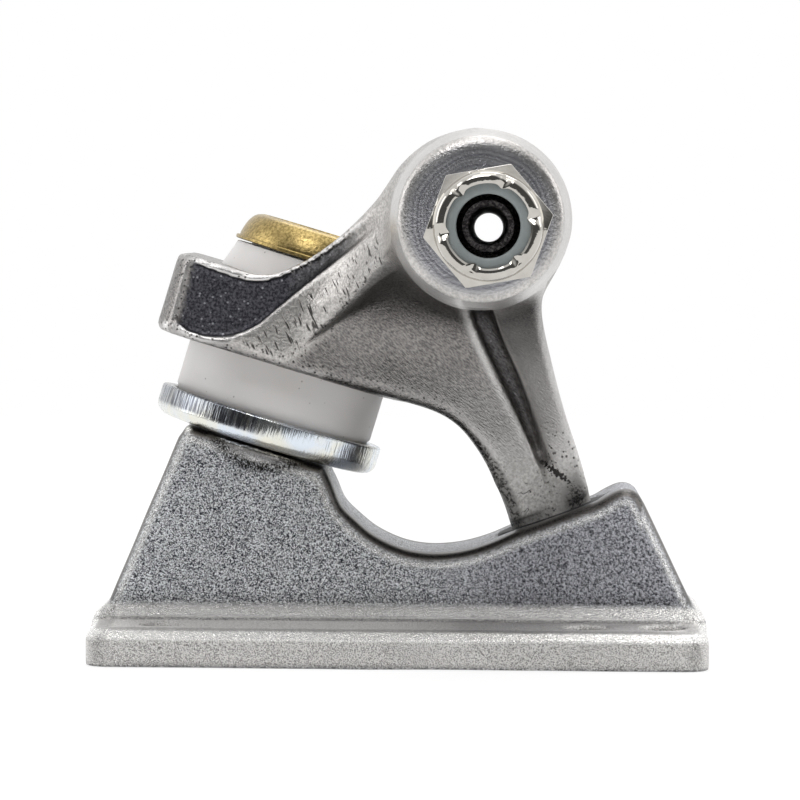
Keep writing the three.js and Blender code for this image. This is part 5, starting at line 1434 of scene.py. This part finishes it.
# Speed washers
# Thin zinc-plated washers that stop a wheel's bearings rubbing on the hanger and on the nut.
SPEED_WASHER_RADIUS, SPEED_WASHER_GAUGE, SPEED_WASHER_ROUND = 6.4, 1.0, 0.18
INNER_WASHER_STAND, OUTER_WASHER_STAND = 74.8, 102.9

washer_profile = eased([
    (AXLE_RADIUS + FIT, 0), (SPEED_WASHER_RADIUS, 0), (SPEED_WASHER_RADIUS, SPEED_WASHER_GAUGE),
    (AXLE_RADIUS + FIT, SPEED_WASHER_GAUGE)], SPEED_WASHER_ROUND)
for side, outward in (("left", -1), ("right", 1)):
    for place_name, stand in (("inner", INNER_WASHER_STAND), ("outer", OUTER_WASHER_STAND)):
        washer_frame = axis_frame((AXLE_X, outward * stand, AXLE_Z), (0, outward, 0))
        washer = turned(f"thin_washer_{place_name}_{side}", washer_profile, washer_frame,
                        zinc_steel)
        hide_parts(f"speed_washer_{place_name}_{side}")
        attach(washer, f"{side}_{place_name}_washer")


# Axle nuts
# Bright nickel-plated lock nuts, one on each end of the axle, with a grey nylon ring that shows
# inside the staked crown.
AXLE_NUT_FLATS, AXLE_NUT_HEIGHT, AXLE_NUT_CROWN, AXLE_NUT_STAND = 12.7, 6.8, 1.9, 104.2
AXLE_RING_BORE, AXLE_RING_RADIUS, AXLE_RING_LOW = 3.55, 5.3, 4.05
NUT_TURN = np.radians(10.3)

# Nickel plate: a mirror with a slightly yellow cast and faint waves from the forged blank.
WAVE_LENGTH, WAVE_DEPTH = 1.6, 0.1

nickel_steel, tree, shader = new_material("nickel_plated_steel")
place = add_node(tree, "ShaderNodeTexCoord", {}).outputs["Object"]
waves = add_node(tree, "ShaderNodeTexNoise", {
    "Vector": place, "Scale": 1 / (WAVE_LENGTH * MM), "Detail": 3.0})
nickel_colour = add_node(tree, "ShaderNodeMix", {
    0: waves.outputs["Fac"], 6: colour("b2aea7"), 7: colour("cecbc5")}, data_type="RGBA")
tree.links.new(nickel_colour.outputs[2], shader.inputs["Base Color"])
forged = add_node(tree, "ShaderNodeBump", {
    "Height": waves.outputs["Fac"], "Strength": 0.4, "Distance": WAVE_DEPTH * MM})
tree.links.new(forged.outputs["Normal"], shader.inputs["Normal"])
shader.inputs["Metallic"].default_value = 1.0
shader.inputs["Roughness"].default_value = 0.07

ring_high = AXLE_NUT_HEIGHT - RING_SUNK
ring_profile = eased([(AXLE_RING_BORE, AXLE_RING_LOW), (AXLE_RING_RADIUS, AXLE_RING_LOW),
                      (AXLE_RING_RADIUS, ring_high), (AXLE_RING_BORE, ring_high)], RING_EASE)
for side, outward in (("left", -1), ("right", 1)):
    nut_frame = axis_frame((AXLE_X, outward * AXLE_NUT_STAND, AXLE_Z), (0, outward, 0))
    nut = lock_nut(f"axle_lock_nut_{side}", nut_frame, nickel_steel, AXLE_NUT_FLATS,
                   AXLE_NUT_HEIGHT, AXLE_NUT_CROWN, AXLE_RADIUS + FIT, AXLE_RING_RADIUS, NUT_TURN)
    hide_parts(f"axle_nut_{side}")
    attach(nut, f"{side}_nut")
    ring = turned(f"axle_nut_ring_{side}", ring_profile, nut_frame, grey_nylon, RING_SIDES)
    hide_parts(f"axle_nut_insert_{side}")
    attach(ring, f"{side}_nut")


# Camera
# It stands 0.6 m off the near end of the axle, level with it, looks a little down and towards
# the heel, and is rolled by under half a degree, as the photograph is.
CAMERA_X, CAMERA_Y, CAMERA_Z = 11.3, -725.0, 55.0
FOCAL_PIXELS, IMAGE_PIXELS, SENSOR = 5573.0, 800.0, 36.0
CAMERA_DOWN, CAMERA_TO_HEEL = np.radians(1.739), np.radians(0.913)
CAMERA_ROLL = np.radians(0.42)
CLIP_NEAR, CLIP_FAR = 10 * MM, 20.0

camera_data = bpy.data.cameras.new("camera")
camera_data.sensor_width = SENSOR
camera_data.lens = FOCAL_PIXELS / IMAGE_PIXELS * SENSOR
camera_data.clip_start, camera_data.clip_end = CLIP_NEAR, CLIP_FAR
camera = bpy.data.objects.new("camera", camera_data)
camera.location = (CAMERA_X * MM, CAMERA_Y * MM, CAMERA_Z * MM)
level = Euler((np.pi / 2 - CAMERA_DOWN, 0, CAMERA_TO_HEEL)).to_matrix()
camera.rotation_euler = (level @ Matrix.Rotation(CAMERA_ROLL, 3, "Z")).to_euler()
bpy.context.scene.collection.objects.link(camera)
bpy.context.scene.camera = camera


# Floor
# A plain pale sheet under the truck, white to the camera but for a trace of shadow.
FLOOR_HALF = 0.9

floor_mesh = bpy.data.meshes.new("floor")
corners = [(-FLOOR_HALF, -FLOOR_HALF, 0), (FLOOR_HALF, -FLOOR_HALF, 0),
           (FLOOR_HALF, FLOOR_HALF, 0), (-FLOOR_HALF, FLOOR_HALF, 0)]
floor_mesh.from_pydata(corners, [], [(0, 1, 2, 3)])
floor = bpy.data.objects.new("floor", floor_mesh)
bpy.context.scene.collection.objects.link(floor)
paper, tree, shader = new_material("pale_paper")
shader.inputs["Base Color"].default_value = colour("f2f2f2")
shader.inputs["Roughness"].default_value = 0.9
rays = add_node(tree, "ShaderNodeLightPath", {})
glow = add_node(tree, "ShaderNodeEmission", {"Color": (1, 1, 1, 1), "Strength": 1.06})
place = add_node(tree, "ShaderNodeTexCoord", {}).outputs["Object"]
from_truck = add_node(tree, "ShaderNodeVectorMath", {0: place}, operation="LENGTH")
share = add_node(tree, "ShaderNodeMapRange", {
    "Value": from_truck.outputs["Value"], "From Min": 0.15, "From Max": 0.6,
    "To Min": 0.78, "To Max": 1.0})
mirrored = add_node(tree, "ShaderNodeMath", {
    0: rays.outputs["Is Glossy Ray"], 1: rays.outputs["Is Transmission Ray"]})
viewed = add_node(tree, "ShaderNodeMath", {
    0: mirrored.outputs["Value"], 1: 0.7, 2: rays.outputs["Is Camera Ray"]},
    operation="MULTIPLY_ADD", use_clamp=True)
seen = add_node(tree, "ShaderNodeMath", {
    0: viewed.outputs["Value"], 1: share.outputs["Result"]}, operation="MULTIPLY")
mixed = add_node(tree, "ShaderNodeMixShader", {
    0: seen.outputs["Value"], 1: shader.outputs["BSDF"], 2: glow.outputs["Emission"]})
tree.links.new(mixed.outputs["Shader"], tree.nodes["Material Output"].inputs["Surface"])
floor_mesh.materials.append(paper)


# Light
# A white studio that is bright overhead, behind the truck and on both sides and dim before it,
# so that upright metal is grey and what leans back is bright. Soft boxes stand in front,
# behind, overhead and on both sides.
SOFT_BOX_AIM = np.array([0.0, 0.0, 0.03])

world = bpy.data.worlds.new("studio")
bpy.context.scene.world = world
world.use_nodes = True
tree = world.node_tree
direction = add_node(tree, "ShaderNodeTexCoord", {}).outputs["Generated"]
up_and_back = add_node(tree, "ShaderNodeVectorMath", {
    0: direction, 1: (0, 1, 1)}, operation="DOT_PRODUCT")
across = add_node(tree, "ShaderNodeSeparateXYZ", {"Vector": direction})
sideways = add_node(tree, "ShaderNodeMath", {0: across.outputs["X"]}, operation="ABSOLUTE")
openness = add_node(tree, "ShaderNodeMath", {
    0: sideways.outputs["Value"], 1: 0.4, 2: up_and_back.outputs["Value"]},
    operation="MULTIPLY_ADD")
room = add_node(tree, "ShaderNodeMapRange", {
    "Value": openness.outputs["Value"], "From Min": -0.1, "From Max": 0.8, "To Min": 0.06,
    "To Max": 1.0}, interpolation_type="SMOOTHSTEP")
rays = add_node(tree, "ShaderNodeLightPath", {})
mirrored = add_node(tree, "ShaderNodeMath", {
    0: rays.outputs["Is Glossy Ray"], 1: rays.outputs["Is Transmission Ray"]})
seen = add_node(tree, "ShaderNodeMath", {
    0: mirrored.outputs["Value"], 1: 0.04, 2: rays.outputs["Is Camera Ray"]},
    operation="MULTIPLY_ADD", use_clamp=True)
strength = add_node(tree, "ShaderNodeMix", {
    0: seen.outputs["Value"], 2: room.outputs["Result"], 3: 1.0})
tree.links.new(strength.outputs[0], tree.nodes["Background"].inputs["Strength"])
tree.nodes["Background"].inputs["Color"].default_value = (1, 1, 1, 1)

# Each soft box: its name, its place and its side in metres, and its power in watts
for name, spot, size, power in (
    ("soft_box_front", (-0.12, -0.62, 0.72), 0.34, 1.9),
    ("soft_box_top", (0.0, -0.1, 1.0), 0.6, 1.2),
    ("soft_box_heel", (-0.75, -0.1, 0.3), 0.5, 1.1),
    ("soft_box_toe", (0.75, 0.1, 0.4), 0.5, 0.9),
    ("soft_box_back", (0.1, 0.55, 0.75), 0.4, 1.2),
):
    lamp = bpy.data.lights.new(name, "AREA")
    lamp.shape = "SQUARE"
    lamp.size = size
    lamp.energy = power
    holder = bpy.data.objects.new(name, lamp)
    back = np.asarray(spot) - SOFT_BOX_AIM
    yaw, pitch = np.arctan2(back[1], back[0]), np.arctan2(np.hypot(back[0], back[1]), back[2])
    holder.location = spot
    holder.rotation_euler = (0, pitch, yaw)
    bpy.context.scene.collection.objects.link(holder)

bpy.context.scene.view_settings.view_transform = "Standard"
